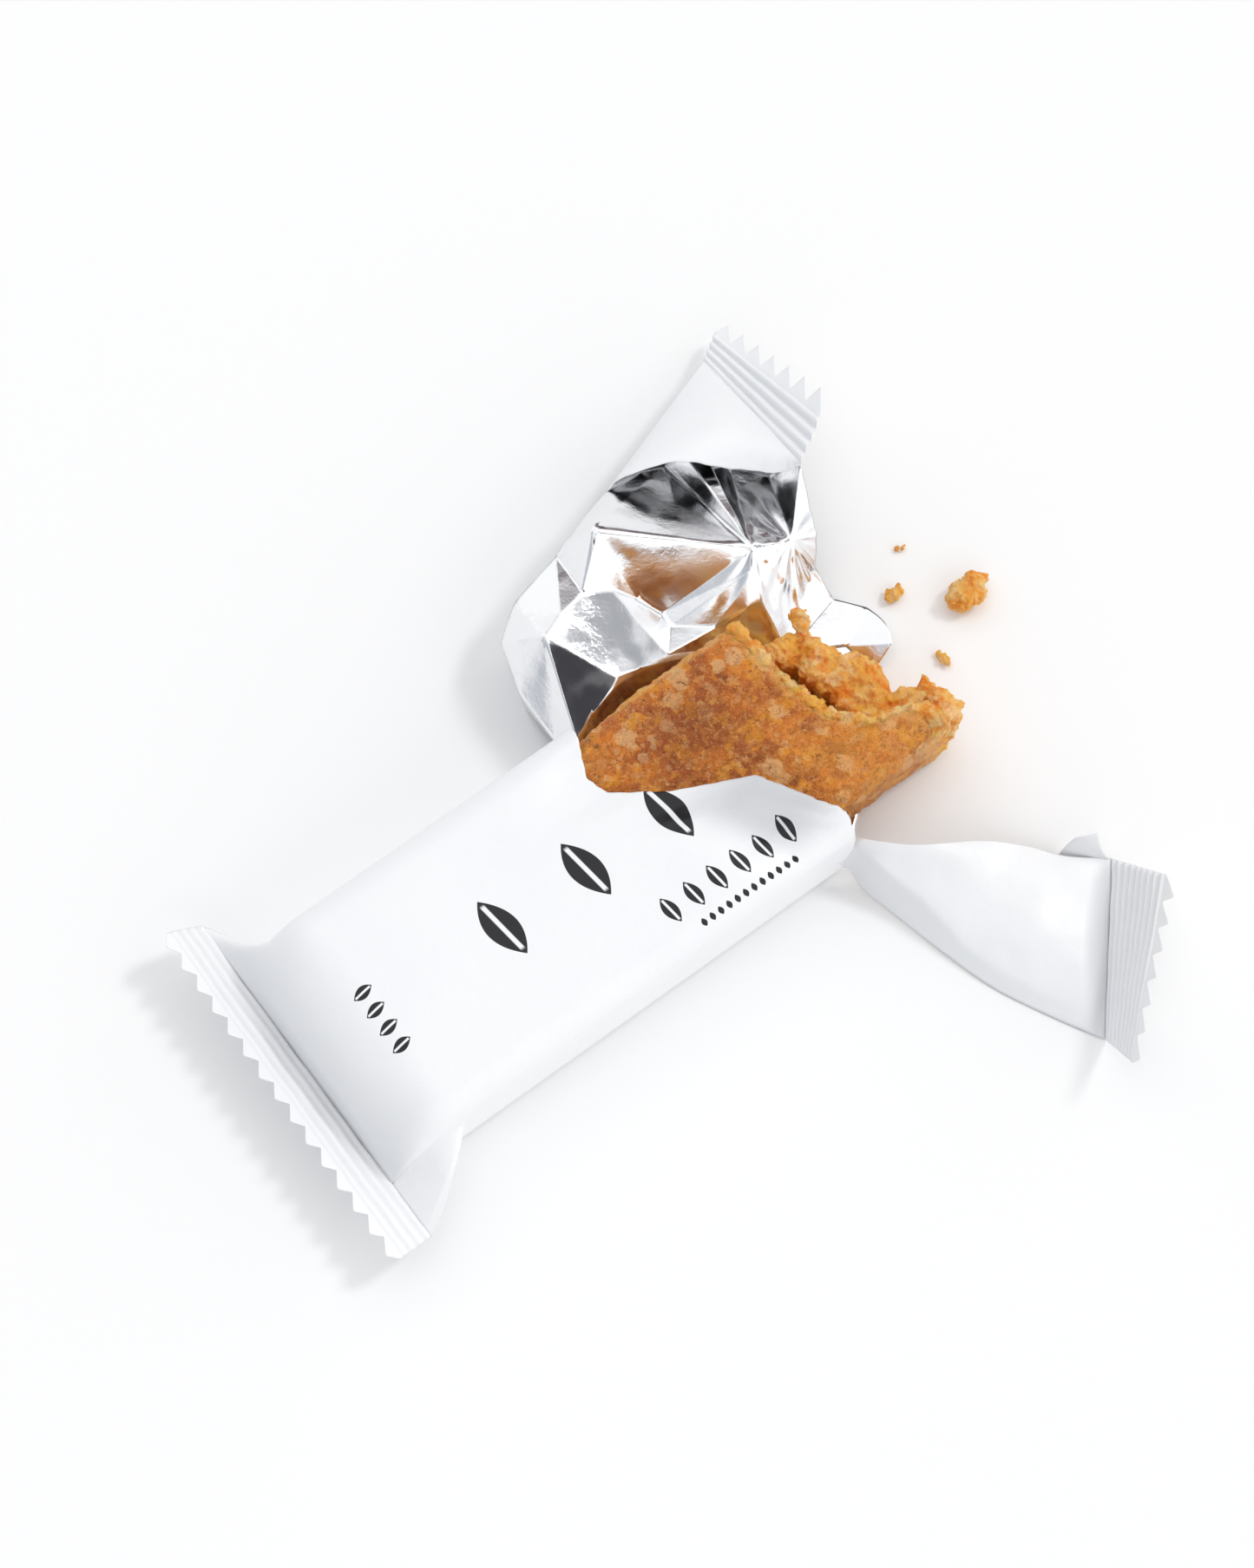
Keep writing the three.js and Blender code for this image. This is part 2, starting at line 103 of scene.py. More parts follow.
def rounded_loop(width, height, radii, count):
    """Evenly spaced points round a box with round corners, from the middle of its left side over the top."""
    w, h = width / 2, height / 2
    corners = [(w, h, 0), (-w, h, 90), (-w, -h, 180), (w, -h, 270)]
    outline = [(w, 0.0)]
    for (cx, cy, start), radius in zip(corners, radii):
        cx -= math.copysign(radius, cx)
        cy -= math.copysign(radius, cy)
        for step in range(13):
            angle = math.radians(start + 90 * step / 12)
            outline.append((cx + radius * math.cos(angle), cy + radius * math.sin(angle)))
    outline.append((w, 0.0))
    outline = np.array(outline)
    length = np.concatenate([[0], np.cumsum(np.linalg.norm(np.diff(outline, axis=0), axis=1))])
    spots = np.linspace(0, length[-1], count, endpoint=False)
    return np.stack([np.interp(spots, length, outline[:, i]) for i in (0, 1)], axis=1)


def noise_at(points, size, seed=0.0, octaves=3):
    """Fractal noise of about -1 to 1 at each point, its largest lumps of one size in millimetres."""
    shift = Vector((seed, 2.3 * seed, -1.7 * seed))
    return np.array([noise.fractal(Vector(p) / size + shift, 0.8, 2.1, octaves) for p in points])


def cells_at(points, size, seed=0.0):
    """How far each point is from the nearest of scattered ones that lie about one size apart."""
    shift = Vector((seed, 2.3 * seed, -1.7 * seed))
    return np.array([noise.voronoi(Vector(p) / size + shift)[0][0] for p in points])


def mesh_object(name, points, faces):
    """A smooth-shaded mesh of points in the pack's frame, linked to the scene."""
    mesh = bpy.data.meshes.new(name)
    mesh.from_pydata([tuple(p) for p in pack_to_frame(points)], [], [tuple(f) for f in faces])
    mesh.polygons.foreach_set("use_smooth", [True] * len(mesh.polygons))
    made = bpy.data.objects.new(name, mesh)
    bpy.context.scene.collection.objects.link(made)
    return made


def mark_points(made, name, values):
    """Gives each point of a mesh a value that materials read under that name."""
    mark = made.data.attributes.new(name, "FLOAT", "POINT")
    mark.data.foreach_set("value", np.asarray(values, np.float32).ravel())


def grid_faces(rows, columns, wrapped=False):
    """Faces of a grid of points, row by row: their front is up where rows run ahead and columns run left."""
    faces = []
    for r in range(rows - 1):
        for c in range(columns if wrapped else columns - 1):
            d = (c + 1) % columns
            faces.append((r * columns + c, (r + 1) * columns + c, (r + 1) * columns + d, r * columns + d))
    return faces


def bar_surface():
    """The bar's smooth skin: rings from its rounded hidden end to the fracture line, closed at both ends."""
    around = bar_points_around
    loop = rounded_loop(bar_width, bar_thickness, bar_corner_radii, around)
    rings = []

    def add_ring(scale, reach):
        y = bar_middle_y + loop[:, 0] * scale
        z = bar_middle_z + loop[:, 1] * scale
        rings.append(np.stack([reach(y), y, z], axis=1))

    for scale in (0.3, 0.6, 0.8, 0.9, 0.96, 0.99, 1.0):
        inset = bar_end_round * (1 - math.sqrt(1 - 0.98 * scale**2))
        add_ring(scale, lambda y: np.full(around, bar_start + inset))
    first = bar_start + bar_end_round
    coarse = np.linspace(0.02, 0.46, 16)
    dense = np.linspace(0.465, 1, 150)
    for share in np.concatenate([coarse, dense]):
        add_ring(1.0, lambda y: first + (along(fracture_line, y) - first) * share)
    for scale in np.linspace(0.985, 0.02, 40):
        add_ring(scale, lambda y: along(fracture_line, y))
    faces = [(a, d, c, b) for a, b, c, d in grid_faces(len(rings), around, wrapped=True)]
    hidden_cap = tuple(reversed(range(around)))
    broken_cap = tuple(range((len(rings) - 1) * around, len(rings) * around))
    return np.concatenate(rings), faces + [hidden_cap, broken_cap]


def make_bar():
    points, faces = bar_surface()
    x, y, z = points.T
    dent = left_dent["depth"] * np.exp(-(((x - left_dent["x"]) / left_dent["length"]) ** 2))
    y -= dent * smooth(bar_middle_y + 4, bar_middle_y + bar_width / 2, y)
    # How far the baked skin is broken open: all of it past the fracture, and partly along crumbling edges.
    beyond = x - along(fracture_line, y)
    open_crumb = np.maximum(smooth(-0.6, 0.0, beyond), 0.75 * smooth(-3.4, -1.2, beyond))
    left_edge = smooth(16.6, 18.6, y) * smooth(12, 15.5, z)
    mouth_edge = smooth(63, 56, x) * smooth(5, 12, y)
    crumbling = np.maximum(0.5 * smooth(86, 97, x), 0.5 * smooth(-11, -13.5, y))
    outward = points - np.clip(points, *bar_core)
    outward /= np.linalg.norm(outward, axis=1)[:, None] + 1e-9
    # The pressed skin swells gently and shows its flakes and grains; open crumb is far rougher.
    seen = x > bar_hidden_to
    shown = points[seen]
    fine = noise_at(shown, grit_size, 5.0)
    grains = 0.5 - cells_at(shown, grain_size, 4.0)
    chips = np.clip(0.5 - cells_at(shown, chip_size, 9.0), -0.1, 0.25)
    pressed = 0.26 * noise_at(shown, swell_size, 1.0) + 0.5 * chips + 0.28 * grains + 0.16 * fine
    crag = 0.7 * noise_at(shown, crag_size, 21.0, 4) + 0.7 * grains + 0.3 * fine
    rough = np.clip(0.8 * open_crumb + 0.25 * left_edge + 0.3 * mouth_edge + crumbling, 0, 1)[seen]
    relief = np.zeros(len(x))
    relief[seen] = pressed * (1 - rough) + crag * rough
    points = points + outward * (relief * smooth(1.0, 2.2, z))[:, None]
    points[:, 2] = np.maximum(points[:, 2], bar_lift - 0.2)
    made = mesh_object("oat_bar", points, faces)
    paleness = np.clip(open_crumb + 0.9 * left_edge + 0.4 * mouth_edge + 0.7 * crumbling, 0, 1)
    mark_points(made, "open_crumb", paleness)
    for name, spot in (("toasted", toasted_spot), ("golden", golden_spot)):
        ahead = (x - spot["x"]) / spot["length"]
        across = (y - spot["y"]) / spot["width"]
        mark_points(made, name, np.exp(-(ahead**2) - across**2))
    return made


oat_bar = make_bar()


class Maker:
    """Short ways of adding shader nodes to one node tree."""

    def __init__(self, tree):
        self.tree = tree

    def node(self, kind, **settings):
        made = self.tree.nodes.new(kind)
        for key, value in settings.items():
            setattr(made, key, value)
        return made

    def join(self, source, target):
        self.tree.links.new(source, target)

    def fill(self, socket, value):
        if isinstance(value, bpy.types.NodeSocket):
            self.join(value, socket)
        else:
            socket.default_value = value

    def give(self, node, values):
        """Fills a node's named inputs, each with a plain value or with what another node puts out."""
        for name, value in values.items():
            self.fill(node.inputs[name], value)

    def maths(self, operation, *values):
        made = self.node("ShaderNodeMath", operation=operation)
        for socket, value in zip(made.inputs, values):
            self.fill(socket, value)
        return made.outputs[0]

    def step(self, value, low, high):
        """0 at low, 1 at high and a smooth step between; low may be the greater of the two."""
        made = self.node("ShaderNodeMapRange", interpolation_type="SMOOTHSTEP")
        for socket, given in zip(made.inputs, (value, low, high)):
            self.fill(socket, given)
        return made.outputs[0]

    def mix(self, share, first, second):
        made = self.node("ShaderNodeMix", data_type="RGBA")
        self.fill(made.inputs["Factor"], share)
        for socket, value in ((made.inputs[6], first), (made.inputs[7], second)):
            self.fill(socket, value if isinstance(value, bpy.types.NodeSocket) else (*value, 1))
        return made.outputs[2]

    def tinted(self, colour, tint, mask, share):
        """The colour, moved towards a tint by a share of the mask."""
        return self.mix(self.maths("MULTIPLY", mask, share), colour, tint)

    def noise(self, place, scale, detail=3.0, roughness=0.55):
        made = self.node("ShaderNodeTexNoise")
        self.give(made, {"Vector": place, "Scale": scale, "Detail": detail, "Roughness": roughness})
        return made.outputs[0]

    def cells(self, place, scale, feature="F1"):
        made = self.node("ShaderNodeTexVoronoi", feature=feature)
        self.give(made, {"Vector": place, "Scale": scale})
        return made.outputs

    def chance(self, colour):
        """The three separate random values of a cell's colour."""
        made = self.node("ShaderNodeSeparateColor")
        self.join(colour, made.inputs[0])
        return made.outputs

    def bump(self, height, strength, distance):
        made = self.node("ShaderNodeBump")
        self.give(made, {"Height": height, "Strength": strength, "Distance": distance})
        return made.outputs[0]

    def mark(self, name):
        """The value that mark_points gave each point of the mesh."""
        return self.node("ShaderNodeAttribute", attribute_name=name).outputs["Fac"]

    def millimetres(self):
        """The place on the object in millimetres."""
        made = self.node("ShaderNodeVectorMath", operation="SCALE")
        self.join(self.node("ShaderNodeTexCoord").outputs["Object"], made.inputs[0])
        made.inputs["Scale"].default_value = 1000
        return made.outputs[0]

    def warped(self, place, scale, amount):
        """A place pushed about by noise, so that shapes drawn at it lose their straight edges."""
        wander = self.node("ShaderNodeTexNoise")
        self.give(wander, {"Vector": place, "Scale": scale})
        push = self.node("ShaderNodeVectorMath", operation="MULTIPLY_ADD")
        self.join(wander.outputs["Color"], push.inputs[0])
        push.inputs[1].default_value = (amount,) * 3
        self.join(place, push.inputs[2])
        return push.outputs[0]


def new_material(name):
    """A new material, a maker for its nodes, and its main shader."""
    material = bpy.data.materials.new(name)
    material.use_nodes = True
    return material, Maker(material.node_tree), material.node_tree.nodes["Principled BSDF"]


def shader_group(name, inputs, outputs):
    """An empty node group with sockets of {name: kind}: its tree, a maker, what comes in, what goes out."""
    tree = bpy.data.node_groups.new(name, "ShaderNodeTree")
    for way, sockets in (("INPUT", inputs), ("OUTPUT", outputs)):
        for socket, kind in sockets.items():
            tree.interface.new_socket(socket, in_out=way, socket_type=f"NodeSocket{kind}")
    m = Maker(tree)
    return tree, m, m.node("NodeGroupInput").outputs, m.node("NodeGroupOutput")


crumb_amber = (0.92, 0.29, 0.02)
crumb_straw = (0.99, 0.54, 0.12)
crumb_cream = (0.99, 0.65, 0.3)
crumb_syrup = (0.97, 0.42, 0.02)
crumb_flake = (0.98, 0.63, 0.24)
crumb_hollow_shade_paint = (0.55, 0.16, 0.012)


def make_crumb_group():
    """The open crumb's colour, with the masks, grit and height that the bar's skin shares with it."""
    masks = ("Amber", "Flakes", "Bits", "Pits", "Lightness", "Tint", "Grit", "Height")
    outputs = {"Crumb": "Color", **{mask: "Float" for mask in masks}}
    tree, m, given, out = shader_group("oat_crumb", {"Place": "Vector"}, outputs)
    place = given["Place"]
    ragged = m.warped(m.warped(place, 0.7, 1.5), 2.6, 0.6)
    grain = m.cells(ragged, 1.5)
    lightness, tint, _ = m.chance(grain["Color"])
    grit = m.noise(place, 3.4, 4, 0.7)
    amber = m.step(m.noise(ragged, 0.34, 2.5, 0.5), 0.53, 0.6)

    def scattered(scale, outer, inner):
        """Ragged patches in about one cell in five."""
        found = m.cells(ragged, scale)
        chosen = m.step(m.chance(found["Color"])[0], 0.76, 0.8)
        return m.maths("MULTIPLY", m.step(found["Distance"], outer, inner), chosen)

    flakes = scattered(0.33, 0.58, 0.44)
    colour = m.mix(m.step(m.noise(place, 0.35, 5, 0.65), 0.38, 0.62), crumb_amber, crumb_straw)
    colour = m.tinted(colour, crumb_cream, m.step(m.noise(ragged, 0.3, 4), 0.5, 0.6), 0.75)
    colour = m.tinted(colour, crumb_syrup, amber, 0.5)
    colour = m.tinted(colour, crumb_flake, flakes, 0.5)
    # Painted shade: darker brown patches, placed by noise, stand for shade in the crumb's hollows.
    colour = m.tinted(colour, crumb_hollow_shade_paint, m.step(m.noise(place, 0.7, 4), 0.46, 0.3), 0.45)
    lumps = m.maths("MULTIPLY", grain["Distance"], -0.6)
    rough = m.maths("ADD", m.noise(place, 2.2, 5, 0.7), lumps)
    height = m.maths("ADD", rough, m.maths("MULTIPLY", grit, 0.4))
    pits = m.step(m.noise(ragged, 1.2, 2, 0.5), 0.38, 0.31)
    m.give(out, {"Crumb": colour, "Amber": amber, "Flakes": flakes, "Bits": scattered(0.8, 0.5, 0.36)})
    m.give(out, {"Pits": pits, "Lightness": lightness, "Tint": tint, "Grit": grit, "Height": height})
    return tree


pale_grain = (0.93, 0.5, 0.15)
dark_grain = (0.34, 0.08, 0.01)
amber_grain = (0.88, 0.3, 0.02)
# Painted highlight on the grit's raised points and painted shade in its low ones.
grit_highlight_paint = (0.97, 0.66, 0.34)
grit_shade_paint = (0.22, 0.045, 0.006)


def make_grains_group():
    """Pale, dark and amber grains, and painted highlight and painted shade on the fine grit, laid over a
    colour.
    """
    inputs = {"Colour": "Color", "Lightness": "Float", "Tint": "Float", "Grit": "Float"}
    inputs.update({"Dark grains": "Float", "Amber grains": "Float", "Grit shade paint": "Float"})
    tree, m, given, out = shader_group("oat_grains", inputs, {"Colour": "Color"})
    colour = m.tinted(given["Colour"], pale_grain, m.step(given["Lightness"], 0.62, 1.0), 0.3)
    colour = m.tinted(colour, dark_grain, m.step(given["Lightness"], 0.35, 0.0), given["Dark grains"])
    colour = m.tinted(colour, amber_grain, m.step(given["Tint"], 0.7, 0.95), given["Amber grains"])
    # Painted highlight where the grit stands high and painted shade where it lies low: the same grit raises
    # the bump.
    colour = m.tinted(colour, grit_highlight_paint, m.step(given["Grit"], 0.57, 0.69), 0.6)
    colour = m.tinted(colour, grit_shade_paint, m.step(given["Grit"], 0.44, 0.3), given["Grit shade paint"])
    m.give(out, {"Colour": colour})
    return tree


crumb_group = make_crumb_group()
grains_group = make_grains_group()
glow_colours = (1.0, 0.4, 0.15)
glow_depth = 1.5


def make_oat_material(name, colour_under, dark_grains, amber_grains, grit_shade_paint, glow):
    """Baked oats: grains over the colour that colour_under gives, and light that glows a little way in."""
    material, m, shader = new_material(name)
    place = m.millimetres()
    crumb = m.node("ShaderNodeGroup", node_tree=crumb_group)
    m.give(crumb, {"Place": place})
    grains = m.node("ShaderNodeGroup", node_tree=grains_group)
    m.give(grains, {"Colour": colour_under(m, place, crumb.outputs)})
    m.give(grains, {key: crumb.outputs[key] for key in ("Lightness", "Tint", "Grit")})
    m.give(grains, {"Dark grains": dark_grains, "Amber grains": amber_grains, "Grit shade paint": grit_shade_paint})
    roughness = m.maths("ADD", m.maths("MULTIPLY", crumb.outputs["Grit"], 0.6), 0.15)
    m.give(shader, {"Base Color": grains.outputs["Colour"], "Roughness": roughness})
    m.give(shader, {"Subsurface Weight": glow, "Subsurface Radius": glow_colours})
    m.give(shader, {"Subsurface Scale": glow_depth / 1000})
    m.give(shader, {"Specular IOR Level": 0.4, "Normal": m.bump(crumb.outputs["Height"], 0.8, 0.0006)})
    return material


honey_dark = (0.49, 0.122, 0.022)
honey_gold = (0.77, 0.232, 0.025)
honey_pale = (0.78, 0.32, 0.06)
honey_burnt = (0.3, 0.07, 0.014)
skin_amber = (0.86, 0.34, 0.025)
skin_flake = (0.87, 0.52, 0.24)
skin_bit = (0.85, 0.47, 0.19)
skin_pit = (0.2, 0.045, 0.008)
toasted_brown = (0.27, 0.06, 0.01)
baked_gold = (0.86, 0.36, 0.05)
broken_pale = (0.86, 0.43, 0.15)


def skin_colour(m, place, crumb):
    """Dark honey with flakes and amber spots, browner where toasted, and open crumb where broken."""
    colour = m.mix(m.step(m.noise(place, 0.12, 4), 0.42, 0.58), honey_dark, honey_gold)
    colour = m.tinted(colour, honey_pale, m.step(m.noise(place, 0.45, 5, 0.7), 0.5, 0.66), 0.75)
    colour = m.tinted(colour, honey_burnt, m.step(m.noise(place, 0.3, 5, 0.65), 0.47, 0.34), 0.7)
    colour = m.tinted(colour, skin_amber, crumb["Amber"], 0.8)
    colour = m.tinted(colour, skin_flake, crumb["Flakes"], 0.75)
    colour = m.tinted(colour, skin_bit, crumb["Bits"], 0.55)
    colour = m.tinted(colour, skin_pit, crumb["Pits"], 0.8)
    colour = m.tinted(colour, toasted_brown, m.mark("toasted"), 0.72)
    colour = m.tinted(colour, baked_gold, m.mark("golden"), 0.45)
    broken = m.mark("open_crumb")
    colour = m.tinted(colour, crumb["Crumb"], m.step(broken, 0.2, 0.8), 0.85)
    return m.tinted(colour, broken_pale, m.step(broken, 0.3, 0.75), 0.35)


skin_grains = {"dark_grains": 0.3, "amber_grains": 0.25, "grit_shade_paint": 0.75}
oat_bar.data.materials.append(make_oat_material("baked_oats", skin_colour, **skin_grains, glow=0.3))
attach(oat_bar, "root")
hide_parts("bar")

# ---- The broken crumb ----
# Where the bar is broken, its crumb stands open: a craggy ledge of fused clumps, lower than the top skin
# and parted from it by a crack, with one finger and one spike of crumb that stick out from its rim.
ledge_line = [
    (-14.2, 102), (-13, 106.3), (-11, 107.6), (-9.2, 107.2), (-7.2, 106), (-5.6, 104), (-4.6, 101.4),
    (-3, 100.8), (-0.4, 100.9), (1.2, 102), (3.4, 100.8), (7, 97.6), (11.4, 96.6), (13.4, 92.2),
    (14.6, 89.6), (18.6, 87.4),
]
ledge_heights = [(-14, 14.4), (-8, 13.6), (-3, 12.6), (5, 12.2), (19, 11.4)]
crack_line = [(-3.0, 92.8), (1.4, 91.9), (4.8, 91.1), (8.4, 90.4), (11.0, 90.0)]
crack_depth = 7.5
crack_half_width = 1.25
crumb_voxel = 0.22
crumb_overlap = 3.0
clump_sizes = (0.45, 1.5)
clump_counts = {"top": 900, "face": 500, "skin": 330, "finger": 10}
finger = [(95.9, 11.6, 11.0), (96.6, 12.8, 11.6), (97.1, 14.2, 11.8), (97.6, 15.3, 11.6)]
spike = [(105.3, -8.4, 12.2), (105.6, -7.2, 12.6), (105.8, -6.1, 12.5), (106.0, -5.3, 12.2)]
finger_thick = 1.1
spike_thick = 0.9
crumb_grains = {"dark_grains": 0, "amber_grains": 0, "grit_shade_paint": 0.35}


def crumb_colour(m, place, crumb):
    """Open crumb all over."""
    return crumb["Crumb"]


crumb_material = make_oat_material("open_crumb", crumb_colour, **crumb_grains, glow=0.6)


def ball(detail):
    """The points and triangles of a round ball of radius 1."""
    shape = bmesh.new()
    bmesh.ops.create_icosphere(shape, subdivisions=detail, radius=1)
    points = np.array([v.co[:] for v in shape.verts])
    faces = np.array([[v.index for v in f.verts] for f in shape.faces])
    shape.free()
    return points, faces


def freeze(made):
    """Turns the object's modifiers into plain mesh."""
    bpy.context.view_layer.update()
    final = bpy.data.meshes.new_from_object(made.evaluated_get(bpy.context.evaluated_depsgraph_get()))
    made.modifiers.clear()
    made.data = final


def pack_points(made):
    """The object's points in millimetres in the pack's frame."""
    points = np.empty(len(made.data.vertices) * 3)
    made.data.vertices.foreach_get("co", points)
    return (points.reshape(-1, 3) - np.array(pack_origin)) * 1000


def push_out(made, height_at, lowest=-math.inf):
    """Moves each point out along its normal by what height_at gives it, but leaves none below lowest."""
    points = pack_points(made)
    normals = np.array([v.normal[:] for v in made.data.vertices])
    points += normals * height_at(points)[:, None]
    points[:, 2] = np.maximum(points[:, 2], lowest)
    made.data.vertices.foreach_set("co", pack_to_frame(points).ravel())


def crumb_grain(points):
    """The fine granules that cover every face of open crumb."""
    return 0.2 * noise_at(points, 0.8, 6.0) + 0.3 * (0.45 - cells_at(points, 0.75, 2.0))


def fused_clumps(name, centres, radii, seed, voxel, core=None):
    """One craggy mesh of rough clumps, fused to each other and to a core of (points, faces)."""
    rng = np.random.default_rng(seed)
    ball_points, ball_faces = ball(2)
    core_points, core_faces = core or (np.empty((0, 3)), [])
    all_points = [core_points]
    all_faces = list(core_faces)
    count = len(core_points)
    for centre, radius in zip(centres, radii):
        offset = Vector(rng.uniform(-50, 50, 3))
        bumps = np.array([noise.noise(Vector(p) * 1.4 + offset) for p in ball_points])
        clump = ball_points * (1 + 0.6 * bumps)[:, None] * rng.uniform(0.7, 1.25, 3)
        all_points.append(np.asarray(centre) + clump * radius)
        all_faces += [tuple(f) for f in ball_faces + count]
        count += len(ball_points)
    made = mesh_object(name, np.concatenate(all_points), all_faces)
    fused = made.modifiers.new("fused", "REMESH")
    fused.mode = "VOXEL"
    fused.voxel_size = voxel / 1000
    fused.use_smooth_shade = True
    freeze(made)
    push_out(made, crumb_grain, lowest=0.02)
    made.data.materials.append(crumb_material)
    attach(made, "root")
    return made


def off_crack(x, y):
    """How far each spot lies outside the crack between the skin and the ledge; less than 0 inside it."""
    width = crack_half_width * (0.85 + 0.35 * np.sin(y * 1.1 - 0.6) + 0.2 * np.sin(y * 3.1 + 1))
    width = width * smooth(-4.5, -1.5, y) * smooth(12.0, 9.5, y)
    return np.abs(x - along(crack_line, y) - 0.45 * np.sin(y * 1.7) - 0.2 * np.sin(y * 4.3)) - width


def ledge_top(points):
    """The ledge's height at each (x, y): lumpy, rounded off at its rim and parted by the crack."""
    x, y = points.T
    spots = np.stack([x, y, np.zeros(len(x))], axis=1)
    height = along(ledge_heights, y) + noise_at(spots, 4.0, 31.0)
    height += 1.1 * (0.5 - cells_at(spots, 2.6, 12.0))
    height -= 1.8 * smooth(1.6, 0.0, along(ledge_line, y) - x) ** 2
    height += 1.6 * smooth(1.2, 0.0, x - along(fracture_line, y)) * smooth(-2, -7, y)
    return height - crack_depth * (0.35 + 0.65 * smooth(11, 6, y)) * smooth(0.2, -0.5, off_crack(x, y))


def ledge_core():
    """The ledge's solid core: a grid of its top over a plain foot."""
    columns, rows = 120, 64
    y = np.linspace(bar_middle_y - bar_width / 2 + 0.6, bar_middle_y + bar_width / 2 - 0.8, columns)
    near = along(fracture_line, y) - crumb_overlap
    far = np.maximum(along(ledge_line, y), near + 1.5)
    x = near + (far - near) * np.linspace(0, 1, rows)[:, None]
    flat = np.stack([x.ravel(), np.broadcast_to(y, x.shape).ravel()], axis=1)
    shoulder = smooth(0.0, 2.5, np.minimum(flat[:, 1] - y[0], y[-1] - flat[:, 1]))
    top = np.column_stack([flat, ledge_top(flat) - 1.5 * (1 - shoulder)])
    foot = np.column_stack([flat, np.full(len(flat), bar_lift)])
    foot[:, 0] -= 1.2 * np.repeat(np.linspace(0, 1, rows), columns)
    under = rows * columns
    faces = grid_faces(rows, columns)
    faces += [(under + a, under + d, under + c, under + b) for a, b, c, d in faces]
    border = list(range(columns)) + [r * columns + columns - 1 for r in range(1, rows)]
    border += [(rows - 1) * columns + c for c in range(columns - 2, -1, -1)]
    border += [r * columns for r in range(rows - 2, 0, -1)]
    faces += [(a, b, under + b, under + a) for a, b in zip(border, border[1:] + border[:1])]
    return np.concatenate([top, foot]), faces


def make_broken_crumb():
    rng = np.random.default_rng(5)
    small, large = clump_sizes
    centres, radii = [], []

    count = clump_counts["top"]
    y = rng.uniform(-13.0, 17.6, count)
    near, far = along(fracture_line, y) - 0.6, along(ledge_line, y) - 0.5
    x = near + np.maximum(far - near, 0.3) * (1 - rng.random(count) ** 1.6)
    tops = ledge_top(np.stack([x, y], axis=1))
    sizes = small + (large - small) * rng.random(count) ** 2.4
    keep = off_crack(x, y) > 0.75 * sizes
    centres += list(np.column_stack([x, y, tops - 0.25 * sizes])[keep])
    radii += list(sizes[keep])

    count = clump_counts["face"]
    y = rng.uniform(-13.0, 17.4, count)
    z = rng.uniform(2.0, 11.5, count)
    centres += list(np.column_stack([along(ledge_line, y) - 0.5 - 0.1 * (11.5 - z), y, z]))
    radii += list(small + (large - small) * rng.random(count) ** 1.8)

    # Small granules stick out along the torn edge of the skin, set back where the crack runs.
    count = clump_counts["skin"]
    y = rng.uniform(-13.4, 18.4, count)
    skin = bar_lift + bar_thickness - 0.35 - 0.9 * smooth(-8, -13, y)
    set_back = 0.1 + 0.6 * smooth(-5, -3, y) * smooth(12, 10, y)
    x = along(fracture_line, y) + rng.normal(0, 0.35, count) - set_back
    centres += list(np.column_stack([x, y, skin]))
    radii += list(rng.uniform(0.3, 0.75, count))

    for line, thick in ((finger, finger_thick), (spike, spike_thick)):
        for spot in line:
            for _ in range(clump_counts["finger"]):
                centres.append(np.array(spot) + rng.normal(scale=0.5 * thick, size=3))
                radii.append(rng.uniform(0.4, 0.9) * thick)
    made = fused_clumps("broken_crumb", centres, radii, 8, crumb_voxel, ledge_core())
    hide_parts("bar")


make_broken_crumb()

# ---- The loose crumbs ----
# Bits of baked oats that fell from the broken end and lie on the table. Each is a small clump of granules
# that the honey holds together: a large one, two middling ones and a mere speck.
loose_voxel = 0.17
loose_crumbs = [
    {"place": (124.0, 5.3), "size": (8.2, 6.4, 4.6), "granules": 60},
    {"place": (114.9, 12.3), "size": (4.6, 3.0, 2.2), "granules": 26},
    {"place": (114.4, -1.0), "size": (2.0, 4.2, 1.4), "granules": 20},
    {"place": (120.4, 18.1), "size": (2.8, 1.4, 1.0), "granules": 14},
]


def make_loose_crumb(number, place, size, granules):
    rng = np.random.default_rng(40 + number)
    centres, radii = [], []
    for _ in range(granules):
        way = rng.normal(size=3)
        way *= rng.random() ** 0.45 / np.linalg.norm(way)
        radius = size[2] * rng.uniform(0.16, 0.34)
        half = np.maximum(np.array(size) / 2 - radius, 0.05)
        swell = 1 + 0.3 * noise.noise(Vector(way) * 1.4 + Vector((number * 5.1, 0, 0)))
        centres.append(np.array([place[0], place[1], size[2] / 2]) + way * half * swell)
        radii.append(radius)
    fused_clumps(f"crumb_{number}", centres, radii, 60 + number, loose_voxel)


for number, crumb in enumerate(loose_crumbs, 1):
    make_loose_crumb(number, **crumb)

# ---- The film ----
# Thin white plastic film, satin outside and metallised silver inside. One sheet was wrapped round the bar
# and crimped flat at both ends; every piece of it below is the same film, so all share its two faces.
film_thickness = 0.1
film_shade = (0.85, 0.86, 0.88)
film_white = (0.89, 0.9, 0.91)
# The grey of painted shade on the white film.
shade_paint_grey = (0.36, 0.37, 0.4)
print_black = (0.009, 0.009, 0.011)
foil_silver = (0.88, 0.885, 0.9, 1)
front_rows = [
    {"first": 29.5, "pitch": 15.4, "count": 4, "middle": -1.0, "length": 11.0, "width": 5.0, "slit": 0.45},
    {"first": 51.3, "pitch": 4.3, "count": 6, "middle": -13.6, "length": 4.8, "width": 2.3, "slit": 0.25},
    {"first": 54.4, "pitch": 1.55, "count": 12, "middle": -18.0, "length": 1.5, "width": 0.95, "slit": 0},
]
end_row = {"first": -3.0, "pitch": 3.3, "count": 4, "middle": 7.0, "length": 3.5, "width": 2.0, "slit": 0.22}


